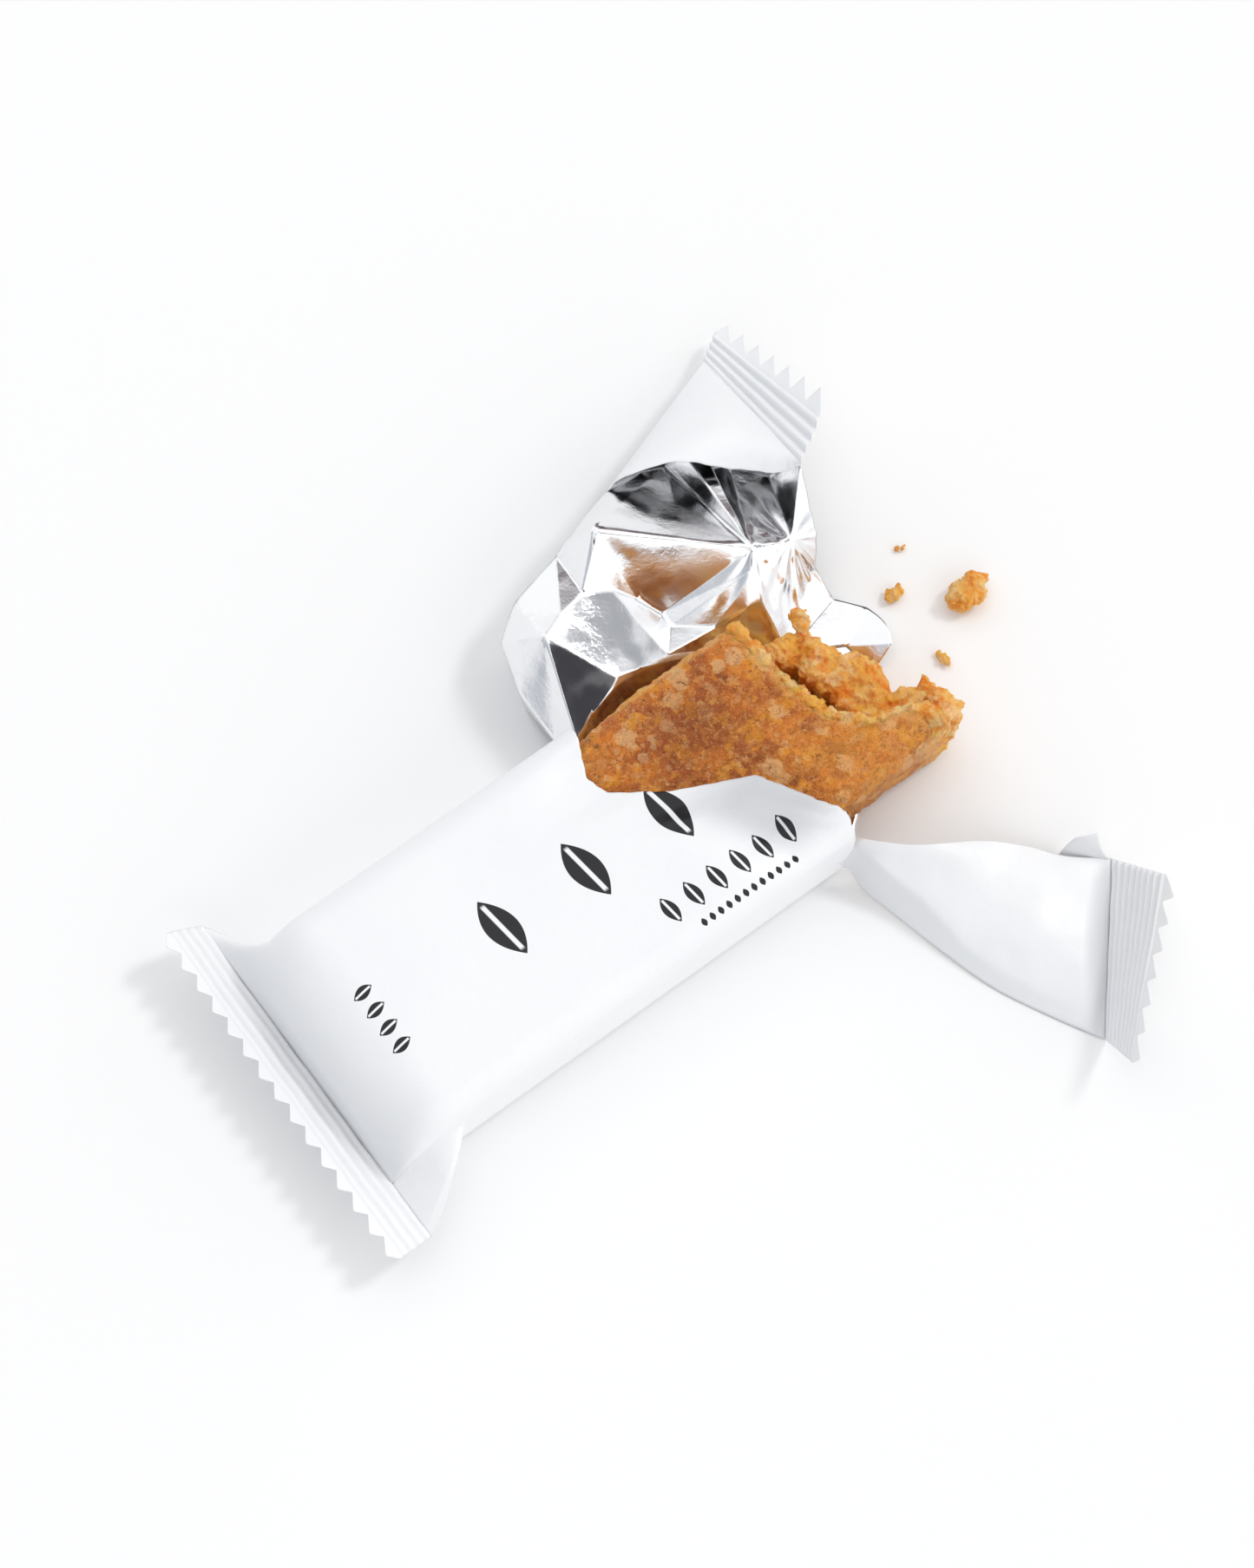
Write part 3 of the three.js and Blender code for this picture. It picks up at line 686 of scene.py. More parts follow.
def printed_grains(m, run, rise, row):
    """A row of pointed grains in print, each with a bare slit down its middle."""
    shifted = m.maths("DIVIDE", m.maths("SUBTRACT", run, row["first"] - row["pitch"] / 2), row["pitch"])
    from_middle = m.maths("ABSOLUTE", m.maths("SUBTRACT", m.maths("FLOOR", shifted), (row["count"] - 1) / 2))
    kept = m.maths("LESS_THAN", from_middle, row["count"] / 2)
    side = m.maths("MULTIPLY", m.maths("SUBTRACT", m.maths("FRACT", shifted), 0.5), row["pitch"])
    height = m.maths("SUBTRACT", rise, row["middle"])
    off_axis = m.maths("ABSOLUTE", m.maths("ADD", side, m.maths("MULTIPLY", height, 0.12)))
    up = m.maths("DIVIDE", m.maths("ABSOLUTE", height), row["length"] / 2)
    out = m.maths("DIVIDE", off_axis, row["width"] / 2)
    room = m.maths("SUBTRACT", m.maths("SUBTRACT", 1.0, m.maths("POWER", up, 2.0)), out)
    ink = m.maths("MULTIPLY", m.step(room, 0.0, 0.12 / row["width"]), kept)
    if not row["slit"]:
        return ink
    gap = m.maths("MULTIPLY", m.step(off_axis, row["slit"], row["slit"] * 0.6), m.step(up, 0.86, 0.74))
    return m.maths("MULTIPLY", ink, m.maths("SUBTRACT", 1.0, gap))


def make_film_outside():
    material, m, shader = new_material("film_outside")
    place = m.millimetres()
    apart = m.node("ShaderNodeSeparateXYZ")
    m.give(apart, {"Vector": m.node("ShaderNodeAttribute", attribute_name="film_place").outputs["Vector"]})
    ahead, across, printed = apart.outputs
    ink = printed_grains(m, m.maths("MULTIPLY", across, -1.0), ahead, end_row)
    for row in front_rows:
        ink = m.maths("MAXIMUM", ink, printed_grains(m, ahead, across, row))
    ink = m.maths("MULTIPLY", ink, printed)
    white = m.mix(m.noise(place, 0.05, 2), film_shade, film_white)
    # Painted shade: the white is greyed where the mesh is marked as lying in shade.
    white = m.tinted(white, shade_paint_grey, m.mark("stretched"), 0.55)
    m.give(shader, {"Base Color": m.mix(ink, white, print_black), "Roughness": 0.36})
    m.give(shader, {"Specular IOR Level": 0.4, "Normal": m.bump(m.noise(place, 0.35, 3), 0.12, 0.001)})
    return material


def make_foil_inside():
    material, m, shader = new_material("foil_inside")
    place = m.millimetres()
    rubbed = m.step(m.noise(place, 0.12, 2), 0.45, 0.6)
    roughness = m.maths("ADD", m.maths("MULTIPLY", rubbed, 0.12), 0.1)
    crumple = m.cells(m.warped(place, 0.5, 1.5), 0.45, feature="SMOOTH_F1")["Distance"]
    grain = m.noise(place, 1.6, 4, 0.6)
    height = m.maths("ADD", m.maths("MULTIPLY", crumple, 0.4), m.maths("MULTIPLY", grain, 0.35))
    m.give(shader, {"Base Color": foil_silver, "Metallic": 1, "Roughness": roughness})
    m.give(shader, {"Normal": m.bump(height, 0.14, 0.0006)})
    return material


film_outside = make_film_outside()
foil_inside = make_foil_inside()


def film_piece(name, points, faces, place=None, stretched=None, creases=None, wrinkle=None, both_white=False):
    """A sheet of film: its faces' front side is the white outside, and its back the silver inside.

    place is each point's spot on the print, and the painted shade argument says how far the white is greyed
    there to stand for shade. creases says how sharp each edge stays when the sheet is rounded, and wrinkle
    gives the height of small folds.
    """
    made = mesh_object(name, points, faces)
    made.data.materials.append(film_outside)
    made.data.materials.append(film_outside if both_white else foil_inside)
    if place is not None:
        spots = made.data.attributes.new("film_place", "FLOAT_VECTOR", "POINT")
        spots.data.foreach_set("vector", np.asarray(place, np.float32).ravel())
    if stretched is not None:
        mark_points(made, "stretched", stretched)
    if creases is not None:
        sharpness = made.data.attributes.new("crease_edge", "FLOAT", "EDGE")
        sharpness.data.foreach_set("value", [creases[tuple(sorted(e.vertices))] for e in made.data.edges])
        rounded = made.modifiers.new("rounded", "SUBSURF")
        rounded.levels = rounded.render_levels = 4
        rounded.boundary_smooth = "PRESERVE_CORNERS"
        freeze(made)
    if wrinkle is not None:
        push_out(made, wrinkle)
    solid = made.modifiers.new("thickness", "SOLIDIFY")
    solid.thickness = film_thickness / 1000
    solid.offset = 0
    solid.material_offset = 1
    solid.material_offset_rim = 0
    freeze(made)
    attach(made, "root")
    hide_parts("wrapper")


# ---- The sleeve ----
# The part of the film that is still a tube round the bar. It narrows to the flat seam of the closed end,
# with a tucked ear at each side, and ends in a torn edge over the bar. Rows of plain grains are printed on
# its front.
sleeve_width = 39.8
sleeve_middle_y = 0.2
sleeve_height = 18.4
sleeve_radius = 4.5
sleeve_crown = 0.9
sleeve_fold_star = (80.0, -18.0, 15.0)
sleeve_points_around = 300
seam_x = -4.9
seam_z = 6.0
seam_half_width = 30.0
seam_half_gap = 0.25
shoulder_length = 12.5
shoulder_wall = 4.5
ear_left_length = 6.0
ear_right_length = 13.0
torn_edge = [
    (-19.7, 81.5), (-17, 81.5), (-13.2, 78.8), (-4.7, 73.7), (1.6, 62), (7.2, 54.8), (11, 53.9), (17.6, 56.8),
]
torn_edge_rag = 0.3


def radial_folds(points, star, folds, reach, seed):
    """Folds that run out from a star point: their height at each point, about -1 to 1."""
    off = points[:, :2] - np.array(star[:2])
    distance = np.linalg.norm(off, axis=1)
    rays = off / (distance[:, None] + 1e-6) * folds
    wave = np.array([noise.noise(Vector((a, b, seed))) for a, b in rays])
    return wave * smooth(0, 2.5, distance) * smooth(reach, reach * 0.3, distance)


def sleeve_rings(xs, loop):
    """The sleeve's surface: xs holds one x for each ring and each point of the loop."""
    across = loop[:, 0] / (sleeve_width / 2)
    level = loop[:, 1] / (sleeve_height / 2)
    opened = np.clip((xs - seam_x) / shoulder_length, 0, 1)
    wall = shoulder_wall * smooth(1.0, 0.3, np.abs(across)) * smooth(0, 0.1, opened)
    foot = seam_z + seam_half_gap + wall
    top = foot + (sleeve_height - foot) * (1 - (1 - opened) ** 2.2)
    bottom = (seam_z - seam_half_gap) * (1 - np.minimum(opened * 2.0, 1)) ** 2
    ear_width = seam_half_width - sleeve_width / 2
    ear_left = ear_width * (1 - np.clip((xs - seam_x) / ear_left_length, 0, 1))
    ear_right = ear_width * (1 - np.clip((xs - seam_x) / ear_right_length, 0, 1)) ** 0.8
    flange = np.where(across > 0, 1 - np.abs(level), 1 - smooth(0.08, 0.22, np.abs(level)))
    ear = np.where(across > 0, ear_left, -ear_right) * flange * np.abs(across) ** 8
    crown = np.maximum(level, 0) ** 3 * sleeve_crown * opened * (1 - across**2)
    y = sleeve_middle_y + across * sleeve_width / 2 + ear
    z = (top + bottom) / 2 + level * (top - bottom) / 2 + crown
    return np.stack([xs, y, z], axis=2)


def print_spots(xs, loop):
    """Where each point of the sleeve lies on the flat print: along it, across it, and 1 for printed film."""
    side_lengths = np.linalg.norm(np.diff(loop, axis=0, append=loop[:1]), axis=1)
    run = np.concatenate([[0], np.cumsum(side_lengths)[:-1]])
    top_half = len(loop) // 2
    top_middle = np.interp(0.0, -loop[:top_half, 0], run[:top_half])
    across = np.broadcast_to(top_middle - run, xs.shape)
    return np.stack([xs, across, np.ones_like(xs)], axis=2)


def make_sleeve():
    loop = rounded_loop(sleeve_width, sleeve_height, (sleeve_radius,) * 4, sleeve_points_around)
    rag = np.array([noise.noise(Vector((0.9 * a, 0.9 * b, 3.1))) for a, b in loop])
    mouth = along(torn_edge, np.clip(loop[:, 0], -19.6, 17.6)) + torn_edge_rag * rag
    shares = np.concatenate([np.linspace(0, 0.22, 56, endpoint=False), np.linspace(0.22, 1, 100)])
    xs = seam_x + (mouth[None, :] - seam_x) * shares[:, None]
    points = sleeve_rings(xs, loop)
    to_mouth = mouth[None, :] - xs
    level = loop[:, 1] / (sleeve_height / 2)
    front = smooth(0.6, 1.0, level)
    y = points[:, :, 1]
    # The front rises and sags a little, as loose film does.
    drift = noise_at(points.reshape(-1, 3), 26.0, 7.0, 2).reshape(y.shape)
    points[:, :, 2] += 0.4 * drift * smooth(-4, 10, xs) * smooth(0.5, 1.0, level)
    # On the left the torn edge lies close on the bar. On the right it lifts in a lip, with a dip behind it.
    near_mouth = smooth(15, 0, to_mouth) * front
    points[:, :, 2] -= 0.9 * near_mouth * smooth(3, 9, y) * smooth(17.5, 13, y)
    points[:, :, 2] -= 0.7 * near_mouth**2 * smooth(-2, 6, y) * smooth(17.5, 13, y)
    on_right = smooth(1, -6, y) * smooth(-19.5, -15.5, y) * front
    points[:, :, 2] += 2.0 * smooth(9, 1, to_mouth) * on_right
    points[:, :, 2] -= 0.9 * np.exp(-(((to_mouth - 10) / 3.5) ** 2)) * on_right
    flat = points.reshape(-1, 3)
    folds = radial_folds(flat, sleeve_fold_star, 2.6, 24.0, 3.3).reshape(y.shape)
    points[:, :, 2] += 0.7 * folds * smooth(0.4, 1.0, level)
    faces = [tuple(reversed(f)) for f in grid_faces(len(shares), len(loop), wrapped=True)]
    # Painted shade: the front is greyed by the right side of the torn mouth, and in a band on the shoulder
    # just above the closed seam.
    stretched = smooth(16, 0, to_mouth) * smooth(2, -6, y) * smooth(-19, -12, y) * front
    stretched += 0.3 * smooth(1.5, -4.6, xs) * smooth(0.0, 0.5, level)
    film_piece("film_sleeve", flat, faces, place=print_spots(xs, loop), stretched=stretched)


make_sleeve()

# ---- The tongue ----
# The back of the tube, the same thin film, which runs on flat under the bar as far as its broken end. Its
# right side is torn away in a ragged curve, and its left side rises into the flap.
tongue_start = 52.0
tongue_edge = [
    (-17.7, 83), (-13, 88), (-9, 100), (2, 104), (3.5, 105), (14, 104), (16, 96), (18, 92.5), (20, 91),
]
tongue_edge_rag = 0.4


def facing(points, faces, way):
    """The faces, turned over if need be, so that on the whole their front looks one way."""
    p = np.asarray(points)
    f = np.array([face[:3] for face in faces])
    normals = np.cross(p[f[:, 1]] - p[f[:, 0]], p[f[:, 2]] - p[f[:, 0]])
    return faces if (normals @ np.array(way)).sum() > 0 else [tuple(reversed(face)) for face in faces]


def film_sheet(name, grid, outside, **finish):
    """A film piece over a grid of points, whose white side faces outside."""
    flat = grid.reshape(-1, 3)
    film_piece(name, flat, facing(flat, grid_faces(*grid.shape[:2]), outside), **finish)


def make_tongue():
    rows, columns = 60, 60
    y = np.linspace(-18.2, 20.0, columns)
    beyond = np.maximum(np.abs(y - sleeve_middle_y) - (sleeve_width / 2 - sleeve_radius), 0)
    z = sleeve_radius - np.sqrt(np.maximum(sleeve_radius**2 - beyond**2, 0)) + 0.05
    rag = tongue_edge_rag * np.array([noise.noise(Vector((v * 0.8, 0.3, 0.9))) for v in y])
    reach = along(tongue_edge, y) + rag
    xs = tongue_start + (reach[None, :] - tongue_start) * np.linspace(0, 1, rows)[:, None]
    grid = np.stack([xs, np.broadcast_to(y, xs.shape), np.broadcast_to(z, xs.shape)], axis=2)
    film_sheet("film_tongue", grid, (0, 0, -1))


make_tongue()

# ---- The seals ----
# At each end the film's two sides are crimped together between ribbed jaws and cut off in a zigzag. The
# closed end is whole. The far one is torn in two: one half went with the flap, the other with the strip.
tooth_pitch = 4.0
tooth_depth = 2.6
tooth_columns = 12
rib_height = 0.28
rib_pitch = 1.55
rib_fade = 0.6
rib_rows_per_mm = 9
# How dark the painted shade in the seals' rib troughs is.
rib_shade_paint = 0.3
seal_waviness = 0.25
closed_seal_corners = [(-4.8, 30.2, 6.0), (-4.9, -29.7, 6.0), (-11.5, 31.9, 9.8), (-12.3, -30.4, 8.8)]


def make_seal(name, corners, rib=rib_height, tooth=tooth_depth, lean=0.5):
    """A ribbed seal with teeth, between the root line's two ends and the outer edge's two ends.

    lean is how far along each tooth its tip lies: 0.5 makes even teeth.
    """
    root_a, root_b, tip_a, tip_b = [np.array(c, float) for c in corners]
    teeth = round(np.linalg.norm(root_b - root_a) / tooth_pitch)
    depth = np.linalg.norm(tip_a - root_a)
    face = np.cross((tip_a + tip_b - root_a - root_b) / 2, root_b - root_a)
    face *= np.sign(face[2]) / np.linalg.norm(face)
    columns = teeth * tooth_columns + 1
    a = np.linspace(0, 1, columns)
    in_tooth = (a * teeth) % 1
    edge = depth - tooth * (1 - np.minimum(in_tooth / lean, (1 - in_tooth) / (1 - lean)))
    # Ribbed rows run straight from the root almost to the notches, and plain rows on to the teeth's edge.
    rows, stretched = [], []
    ribbed = depth - tooth - 0.2
    for reach in np.linspace(0, ribbed, round(rib_rows_per_mm * ribbed)):
        fade = float(smooth(0, rib_fade, reach) * smooth(ribbed, ribbed - rib_fade, reach))
        wave = math.sin(2 * math.pi * reach / rib_pitch)
        rows.append((np.full(columns, reach), rib * fade * wave))
        # Painted shade in each rib's trough, where the ripple dips.
        stretched.append(rib_shade_paint * fade * (0.5 - 0.5 * wave))
    for share in np.linspace(0, 1, 8)[1:]:
        rows.append((ribbed + (edge - ribbed) * share, 0.0))
        stretched.append(0.0)
    root = root_a + (root_b - root_a) * a[:, None]
    tip = tip_a + (tip_b - tip_a) * a[:, None]
    grid = [root + (tip - root) * (reach / depth)[:, None] + face * ripple for reach, ripple in rows]
    grid = np.stack(grid)
    waves = seal_waviness * noise_at(grid.reshape(-1, 3), 9.0, 3.0, 2)
    grid = grid + face * waves.reshape(len(rows), columns, 1)
    film_sheet(name, grid, face, stretched=np.repeat(stretched, columns), both_white=True)


make_seal("closed_seal", closed_seal_corners, rib=0.09, tooth=1.7, lean=0.6)

# ---- The flap ----
# The left side of the tube and half of its top, pulled open to the side so that the silver inside faces
# up. It is creased into facets that meet in stars, bulges up beside the bar, and runs back under the stub
# to the far seal.
fold_points = {
    "mouth": (57.4, 18.4, 11.5),
    "lipLow": (61.6, 20.6, 12.6),
    "lip": (66.8, 21.9, 13.3),
    "lipHigh": (72.2, 22.5, 12.2),
    "starLow": (77.8, 22.6, 9.6),
    "starOuter": (62.4, 33.6, 17.5),
    "scar": (68.2, 22.9, 13.9),
    "ridgeA": (66.7, 35.5, 16.5),
    "ridgeB": (71.9, 36.9, 15.1),
    "saddle": (76.5, 35.3, 13.1),
    "midway": (76.9, 29.5, 11.6),
    "starTop": (78.4, 42.9, 20),
    "underTop": (78.5, 42.0, 19.8),
    "starRight": (97.6, 27.5, 14.8),
    "underRight": (96.7, 27.3, 14.3),
    "slope": (79.5, 32.8, 9.2),
    "hollow": (81.7, 29.7, 6.7),
    "valley": (81.4, 26.9, 7.2),
    "ridgeFoot": (95.7, 25.0, 13.2),
    "ridgeEnd": (94.9, 21.3, 10),
    "basin": (87.1, 22.3, 8),
    "starFar": (104.0, 25.7, 12.5),
    "dip": (99.8, 19.0, 4),
    "rootMouth": (56.6, 20.0, 3.6),
    "rootA": (70, 20.0, 3.6),
    "rootB": (87.5, 20.0, 3.6),
    "rootC": (95.5, 14.5, 0.4),
    "rootD": (103.5, 10, 0.35),
    "edgeA": (108.3, 24.6, 10),
    "tip": (106.2, 21.8, 5.4),
    "edgeB": (106.5, 17.3, 1.2),
    "edgeC": (110.0, 13.1, 0.8),
    "edgeD": (110.8, 8.7, 2.0),
    "edgeE": (108.9, 5.3, 2.8),
    "edgeF": (104.4, 4, 0.3),
    "brimA": (55.5, 21.5, 8),
    "brimB": (55.5, 31, 9),
    "brimC": (58, 39.5, 10),
    "brimD": (63.5, 43.5, 10.5),
    "brimE": (73, 45.5, 12),
    "brimF": (81, 48.5, 12),
    "backA": (87, 51, 8),
    "backB": (94, 52, 4.5),
    "backC": (98, 50.5, 4),
    "bandLeft": (100.5, 48.5, 9),
    "bandRight": (103, 47, 9),
    "backD": (106, 45, 4),
    "backE": (110, 39, 5.5),
    "backF": (112.5, 34.5, 14),
    "hemA": (56.6, 22.6, 1.6),
    "hemB": (56.6, 31, 0.15),
    "hemC": (59.4, 39, 0.15),
    "hemD": (64.6, 43, 0.15),
    "hemE": (74, 45, 0.15),
    "hemF": (82, 48.2, 0.5),
    "hemG": (88, 50.6, 2.0),
    "sealLeft": (114, 61.3, 4.6),
    "sealMiddle": (113.3, 48, 9),
}
fold_facets = """
mouth lipLow starOuter / lipLow scar starOuter / lipLow lip scar / lip lipHigh scar / scar lipHigh midway
lipHigh starLow midway / scar midway saddle / scar saddle ridgeB / scar ridgeB ridgeA
scar ridgeA starOuter / mouth rootMouth rootA / mouth rootA lipLow / lipLow rootA lip / lip rootA lipHigh
lipHigh rootA rootB / lipHigh rootB starLow / starLow rootB basin / starLow basin valley
midway starLow valley / midway valley hollow / midway hollow slope / midway slope saddle
saddle slope underTop / slope hollow underRight / slope underRight underTop
underTop underRight starRight / underTop starRight starTop / hollow valley ridgeFoot
hollow ridgeFoot underRight / underRight ridgeFoot starRight / valley basin ridgeFoot
basin ridgeEnd ridgeFoot / ridgeFoot ridgeEnd starRight / ridgeB saddle underTop / ridgeB underTop starTop
basin rootB rootC / basin rootC ridgeEnd / ridgeEnd starFar starRight / ridgeEnd rootC dip
ridgeEnd dip starFar / dip tip starFar / starFar tip edgeA / dip rootC edgeB / dip edgeB tip
rootC rootD edgeC / rootC edgeC edgeB / rootD edgeD edgeC / rootD edgeF edgeE / rootD edgeE edgeD
starTop starRight backC / starTop backC backB / starTop backB backA / starRight bandLeft backC
starRight bandRight bandLeft / starRight backD bandRight / starRight starFar backD / starFar backE backD
starFar backF backE / starFar edgeA backF / starOuter ridgeA brimD / ridgeA brimE brimD
ridgeA ridgeB brimE / ridgeB starTop brimE / starTop brimF brimE / starTop backA brimF
starOuter brimD brimC / starOuter brimC brimB / starOuter brimB brimA / starOuter brimA mouth
rootMouth mouth brimA / rootMouth brimA hemA / brimA brimB hemB / brimA hemB hemA / brimB brimC hemC
brimB hemC hemB / brimC brimD hemD / brimC hemD hemC / brimD brimE hemE / brimD hemE hemD
brimE brimF hemF / brimE hemF hemE / brimF backA hemG / brimF hemG hemF / backA backB sealLeft
backB backC sealLeft / backC bandLeft sealLeft / bandLeft bandRight sealMiddle
bandLeft sealMiddle sealLeft / bandRight backD sealMiddle / backD backE sealMiddle
backE backF sealMiddle
"""
fold_stars = [
    {"star": "starRight", "height": 0.45, "folds": 3.2, "reach": 20.0, "seed": 1.7},
    {"star": "starFar", "height": 0.5, "folds": 3.6, "reach": 18.0, "seed": 4.1},
    {"star": "starTop", "height": 0.3, "folds": 2.6, "reach": 16.0, "seed": 6.3},
    {"star": "starOuter", "height": 0.04, "folds": 2.8, "reach": 16.0, "seed": 9.2},
]
crumple_height = 0.06
soft_bend = 5
sharp_bend = 25


def flap_wrinkles(points):
    """Small folds of the foil: they run out from the star points and fade into an overall fine crumple."""
    height = np.zeros(len(points))
    for f in fold_stars:
        star = fold_points[f["star"]]
        height += f["height"] * radial_folds(points, star, f["folds"], f["reach"], f["seed"])
    height += crumple_height * noise_at(points, 6.0, 2.0, 2)
    return height * smooth(0.6, 3.0, points[:, 2])


def fold_creases(corners, faces):
    """How sharp each edge between facets stays, 0 to 1: sharper where it bends more, and 1 on open edges."""
    normals = {}
    for f in faces:
        a, b, c = corners[list(f)]
        n = np.cross(b - a, c - a)
        n /= np.linalg.norm(n)
        for p, q in ((f[0], f[1]), (f[1], f[2]), (f[2], f[0])):
            normals.setdefault(tuple(sorted((p, q))), []).append(n)
    creases = {}
    for edge, found in normals.items():
        bend = math.degrees(math.acos(max(-1, min(1, float(found[0] @ found[-1])))))
        creases[edge] = float(smooth(soft_bend, sharp_bend, bend)) if len(found) == 2 else 1.0
    return creases


def make_flap():
    names = list(fold_points)
    corners = np.array([fold_points[n] for n in names], float)
    facets = [f.split() for line in fold_facets.strip().splitlines() for f in line.split(" / ")]
    faces = [tuple(names.index(n) for n in reversed(f)) for f in facets]
    film_piece("film_flap", corners, faces, creases=fold_creases(corners, faces), wrinkle=flap_wrinkles)


make_flap()

# ---- The stub ----
# Front film that still covers the flap's far end, like the lip of a flattened pocket, white side up. The
# half of the far seal that tore off with it closes that end.
stub_edge = [
    (87, 51, 8), (89.5, 50, 12), (97.5, 46.5, 13.5),
    (104, 40.8, 12.5), (109.5, 35.6, 13), (112.4, 34.2, 14.6),
]
stub_edge_rag = 0.35
stub_bulge = 1.6
left_seal_corners = [(114, 61.5, 5), (112.5, 34.5, 15), (121, 66.2, 3.4), (122.6, 40.6, 17.4)]


def curve_through(points, count):
    """Evenly numbered points on a smooth curve through the given ones."""
    p = np.array(points, float)
    p = np.concatenate([[2 * p[0] - p[1]], p, [2 * p[-1] - p[-2]]])
    spots = np.linspace(0, len(points) - 1, count)
    i = np.minimum(spots.astype(int), len(points) - 2)
    t = (spots - i)[:, None]
    a, b, c, d = p[i], p[i + 1], p[i + 2], p[i + 3]
    return 0.5 * (2 * b + (c - a) * t + (2 * a - 5 * b + 4 * c - d) * t**2 + (3 * b - a - 3 * c + d) * t**3)


def make_stub():
    rows, columns = 50, 90
    near = curve_through(stub_edge, columns)
    rag = np.array([noise.noise(Vector((i * 0.21, 4.0, 0.5))) for i in range(columns)])
    near[:, 0] += stub_edge_rag * rag
    a = np.linspace(0, 1, columns)
    root_a, root_b = [np.array(c, float) for c in left_seal_corners[:2]]
    far = root_a + (root_b - root_a) * a[:, None]
    t = np.linspace(0, 1, rows)[:, None, None]
    points = near[None] + (far - near)[None] * t
    points[:, :, 2] += stub_bulge * np.sin(math.pi * t[:, :, 0]) * np.sin(math.pi * a)
    film_sheet("film_stub", points, (0, 0, 1))


make_stub()
make_seal("left_seal_half", left_seal_corners)

# ---- The strip ----
# Film torn off along the bar's right side, white side up. It hangs on by a narrow twisted root, widens into
# a puffed sheet with its low edge on the table, and carries the other half of the far seal, which stands up
# at an angle. A scrap of film sticks out behind it.
strip_top_edge = [
    (81.5, -16.9, 10), (84.8, -21, 10), (90, -25, 8.4), (98.7, -29.6, 6.4),
    (104.4, -33.5, 3.6), (108.5, -38, 2.4), (114.9, -42.5, 0.3),
]
strip_low_edge = [
    (78, -19.6, 8.6), (80.2, -20.6, 4), (81.0, -24.7, 1.2), (82.6, -31, 0.25), (84.6, -39.2, 0.25),
    (87.2, -47.8, 0.25), (91, -55.8, 0.25), (95.8, -64.6, 0.25),
]
strip_puff = 4.2
strip_root_swell = 0.9
strip_fold_reach = [(0.0, 0.6), (0.2, 0.4), (0.4, 0.22), (0.6, 0.1), (1.0, 0.08)]
strip_fold_star = (80.5, -18.5, 12)
right_seal_corners = [(114.9, -42.5, 0.3), (95.8, -64.6, 0.25), (117.2, -53.2, 12.2), (93.8, -72.7, 12.2)]
scrap_corners = [(107.6, -37.4, 0.6), (111.2, -37.5, 5), (114.3, -38.9, 5), (114.3, -42.3, 0.5)]
scrap_curl = (0.5, 0.3, 0)


def make_strip():
    rows, columns = 130, 70
    top = curve_through(strip_top_edge, rows)
    low = curve_through(strip_low_edge, rows)
    t = np.linspace(0, 1, columns)
    u = np.linspace(0, 1, rows)
    points = low[:, None] + (top - low)[:, None] * t[None, :, None]
    # Below a soft fold it slopes down to the low edge. Above, it is nearly level, and puffed near the seal.
    past = t[None] / along(strip_fold_reach, u)[:, None] - 1
    ramp = 1 + past - 0.85 * np.logaddexp(0, 9 * past) / 9
    ramp = (ramp - ramp[:, :1]) / (ramp[:, -1:] - ramp[:, :1])
    points[:, :, 2] = low[:, None, 2] + (top - low)[:, None, 2] * ramp
    puff = strip_puff * smooth(0.3, 0.8, u) * smooth(1.0, 0.92, u)
    points[:, :, 2] += puff[:, None] * (np.sin(math.pi * np.clip(t, 0, 1)) ** 0.8)[None]
    root_swell = strip_root_swell * smooth(0.0, 0.3, u) * smooth(0.7, 0.3, u)
    points[:, :, 2] += root_swell[:, None] * np.sin(math.pi * t)[None]
    flat = points.reshape(-1, 3)
    lift = smooth(0.3, 1.6, flat[:, 2])
    flat[:, 2] += 0.8 * radial_folds(flat, strip_fold_star, 2.2, 36.0, 7.7) * lift
    flat[:, 2] += 0.35 * noise_at(flat, 9.0, 8.0, 2) * lift
    flat[:, 2] = np.maximum(flat[:, 2], 0.2)
    # Painted shade: the strip is greyed towards its twisted root, and darkened in the valley beside the
    # standing seal, which shades it.
    stretched = 0.45 * smooth(0.91, 1.0, u) ** 1.5 + 0.5 * smooth(0.75, 0.0, u)
    film_sheet("film_strip", points, (0, 0, 1), stretched=np.repeat(stretched, columns))


def make_scrap():
    """A leaf of film that stands up behind the strip's upper edge."""
    low_a, high_a, high_b, low_b = [np.array(c, float) for c in scrap_corners]
    rows, columns = 14, 20
    t = np.linspace(0, 1, columns)[None, :, None]
    s = np.linspace(0, 1, rows)[:, None, None]
    points = (low_a * (1 - t) + low_b * t) * (1 - s) + (high_a * (1 - t) + high_b * t) * s
    points = points + np.array(scrap_curl) * np.sin(math.pi * s) * np.cos(3 * t)
    film_sheet("film_scrap", points, (1, 1, 0), both_white=True)


make_strip()
make_scrap()
make_seal("right_seal_half", right_seal_corners, lean=0.7)

# ---- The table ----
# A plain white matt table top, much larger than the wrapper. It is only what the bar is shown on, so it
# is staging and not a piece of the part.
table_half_side = 1600.0
table_shade = (0.91, 0.91, 0.91)
table_white = (0.93, 0.93, 0.93)


def make_table():
    half = table_half_side / 1000
    mesh = bpy.data.meshes.new("table")
    corners = [(-half, -half, 0), (half, -half, 0), (half, half, 0), (-half, half, 0)]
    mesh.from_pydata(corners, [], [(0, 1, 2, 3)])
    made = bpy.data.objects.new("table", mesh)
    bpy.context.scene.collection.objects.link(made)
    material, m, shader = new_material("table_white")
    colour = m.mix(m.noise(m.millimetres(), 0.004, 2), table_shade, table_white)
    m.give(shader, {"Base Color": colour, "Roughness": 0.7, "Specular IOR Level": 0.2})
    made.data.materials.append(material)


make_table()

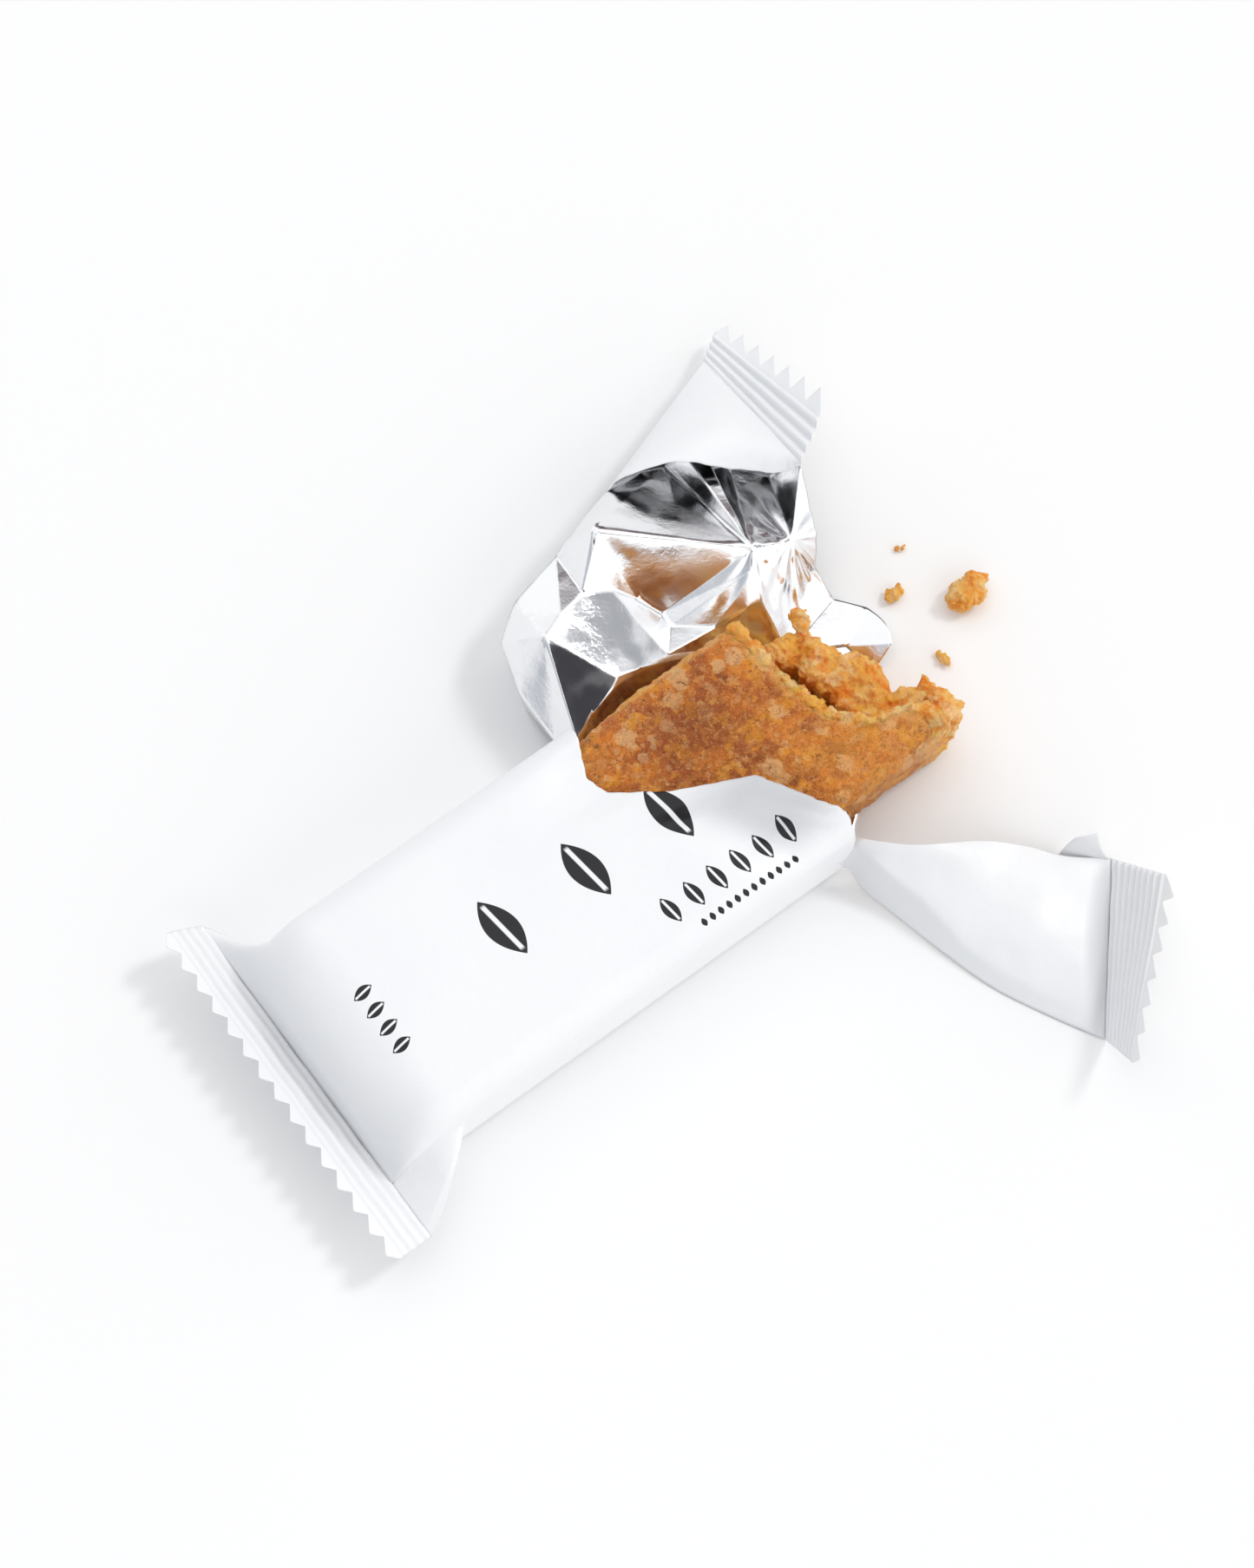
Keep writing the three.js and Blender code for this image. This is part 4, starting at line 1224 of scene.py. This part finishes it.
# ---- The room ----
# A bright white room with soft darker patches, which the foil mirrors, and a large window beyond the
# bar's broken end. A patch's middle is given as degrees round from +X and degrees above the table, its
# shade is full within the inner number of degrees from there, and it has faded away at the outer one.
room_brightness = 1.25
room_patches = [
    {"middle": (100, 20), "inner": 15, "outer": 60, "shade": (0.88, 0.885, 0.89)},
    {"middle": (175, 15), "inner": 15, "outer": 65, "shade": (0.4, 0.42, 0.46)},
    {"middle": (-8, 38), "inner": 6, "outer": 24, "shade": (0.66, 0.67, 0.69)},
    {"middle": (2, 35), "inner": 6, "outer": 14, "shade": (0.34, 0.35, 0.37)},
    {"middle": (50, 4), "inner": 14, "outer": 34, "shade": (0.12, 0.09, 0.1)},
    {"middle": (-84, 67), "inner": 15, "outer": 24, "shade": (0.045, 0.044, 0.05)},
]
window_middle = (-12.5, 49.5)
window_angle = 11
window_energy = 0.7
window_colour = (1.0, 0.99, 0.97)


def compass(around, height):
    """The direction at an angle round from +X and an angle above the table, in degrees."""
    a, e = math.radians(around), math.radians(height)
    return Vector((math.cos(e) * math.cos(a), math.cos(e) * math.sin(a), math.sin(e)))


def make_room_light():
    world = bpy.data.worlds.new("bright_room")
    bpy.context.scene.world = world
    world.use_nodes = True
    m = Maker(world.node_tree)
    way = m.node("ShaderNodeTexCoord").outputs["Generated"]
    colour = (1.0, 1.0, 1.0)
    for patch in room_patches:
        towards = m.node("ShaderNodeVectorMath", operation="DOT_PRODUCT")
        m.join(way, towards.inputs[0])
        towards.inputs[1].default_value = compass(*patch["middle"])
        outer, inner = [math.cos(math.radians(patch[edge])) for edge in ("outer", "inner")]
        colour = m.mix(m.step(towards.outputs["Value"], outer, inner), colour, patch["shade"])
    m.give(world.node_tree.nodes["Background"], {"Color": colour, "Strength": room_brightness})


def make_window():
    light = bpy.data.lights.new("window", "SUN")
    light.energy = window_energy
    light.angle = math.radians(window_angle)
    light.color = window_colour
    window = bpy.data.objects.new("window", light)
    bpy.context.scene.collection.objects.link(window)
    window.rotation_euler = compass(*window_middle).to_track_quat("Z", "Y").to_euler()


make_room_light()
make_window()

# ---- The camera ----
# It looks steeply down from the right of the closed end, through a long lens, and its upright frame takes
# in the whole of the spread wrapper.
camera_distance = 600.0
camera_elevation = math.radians(70)
camera_turn = math.radians(36.5)
camera_target = (62, 12, 0)
focal_pixels = 4440
frame_height_pixels = 1807
sensor_width = 36


def make_camera():
    data = bpy.data.cameras.new("camera")
    data.sensor_width = sensor_width
    data.lens = sensor_width * focal_pixels / frame_height_pixels
    camera = bpy.data.objects.new("camera", data)
    bpy.context.scene.collection.objects.link(camera)
    level = math.cos(camera_elevation)
    ahead_x, ahead_y = math.sin(camera_turn), math.cos(camera_turn)
    back = Vector((-level * ahead_x, -level * ahead_y, math.sin(camera_elevation)))
    right = Vector((ahead_y, -ahead_x, 0))
    facing_back = Matrix((right, back.cross(right), back)).transposed().to_4x4()
    target = Vector(pack_to_frame([camera_target])[0])
    camera.matrix_world = Matrix.Translation(target + back * (camera_distance / 1000)) @ facing_back
    bpy.context.scene.camera = camera


make_camera()
bpy.context.scene.view_settings.view_transform = "Standard"
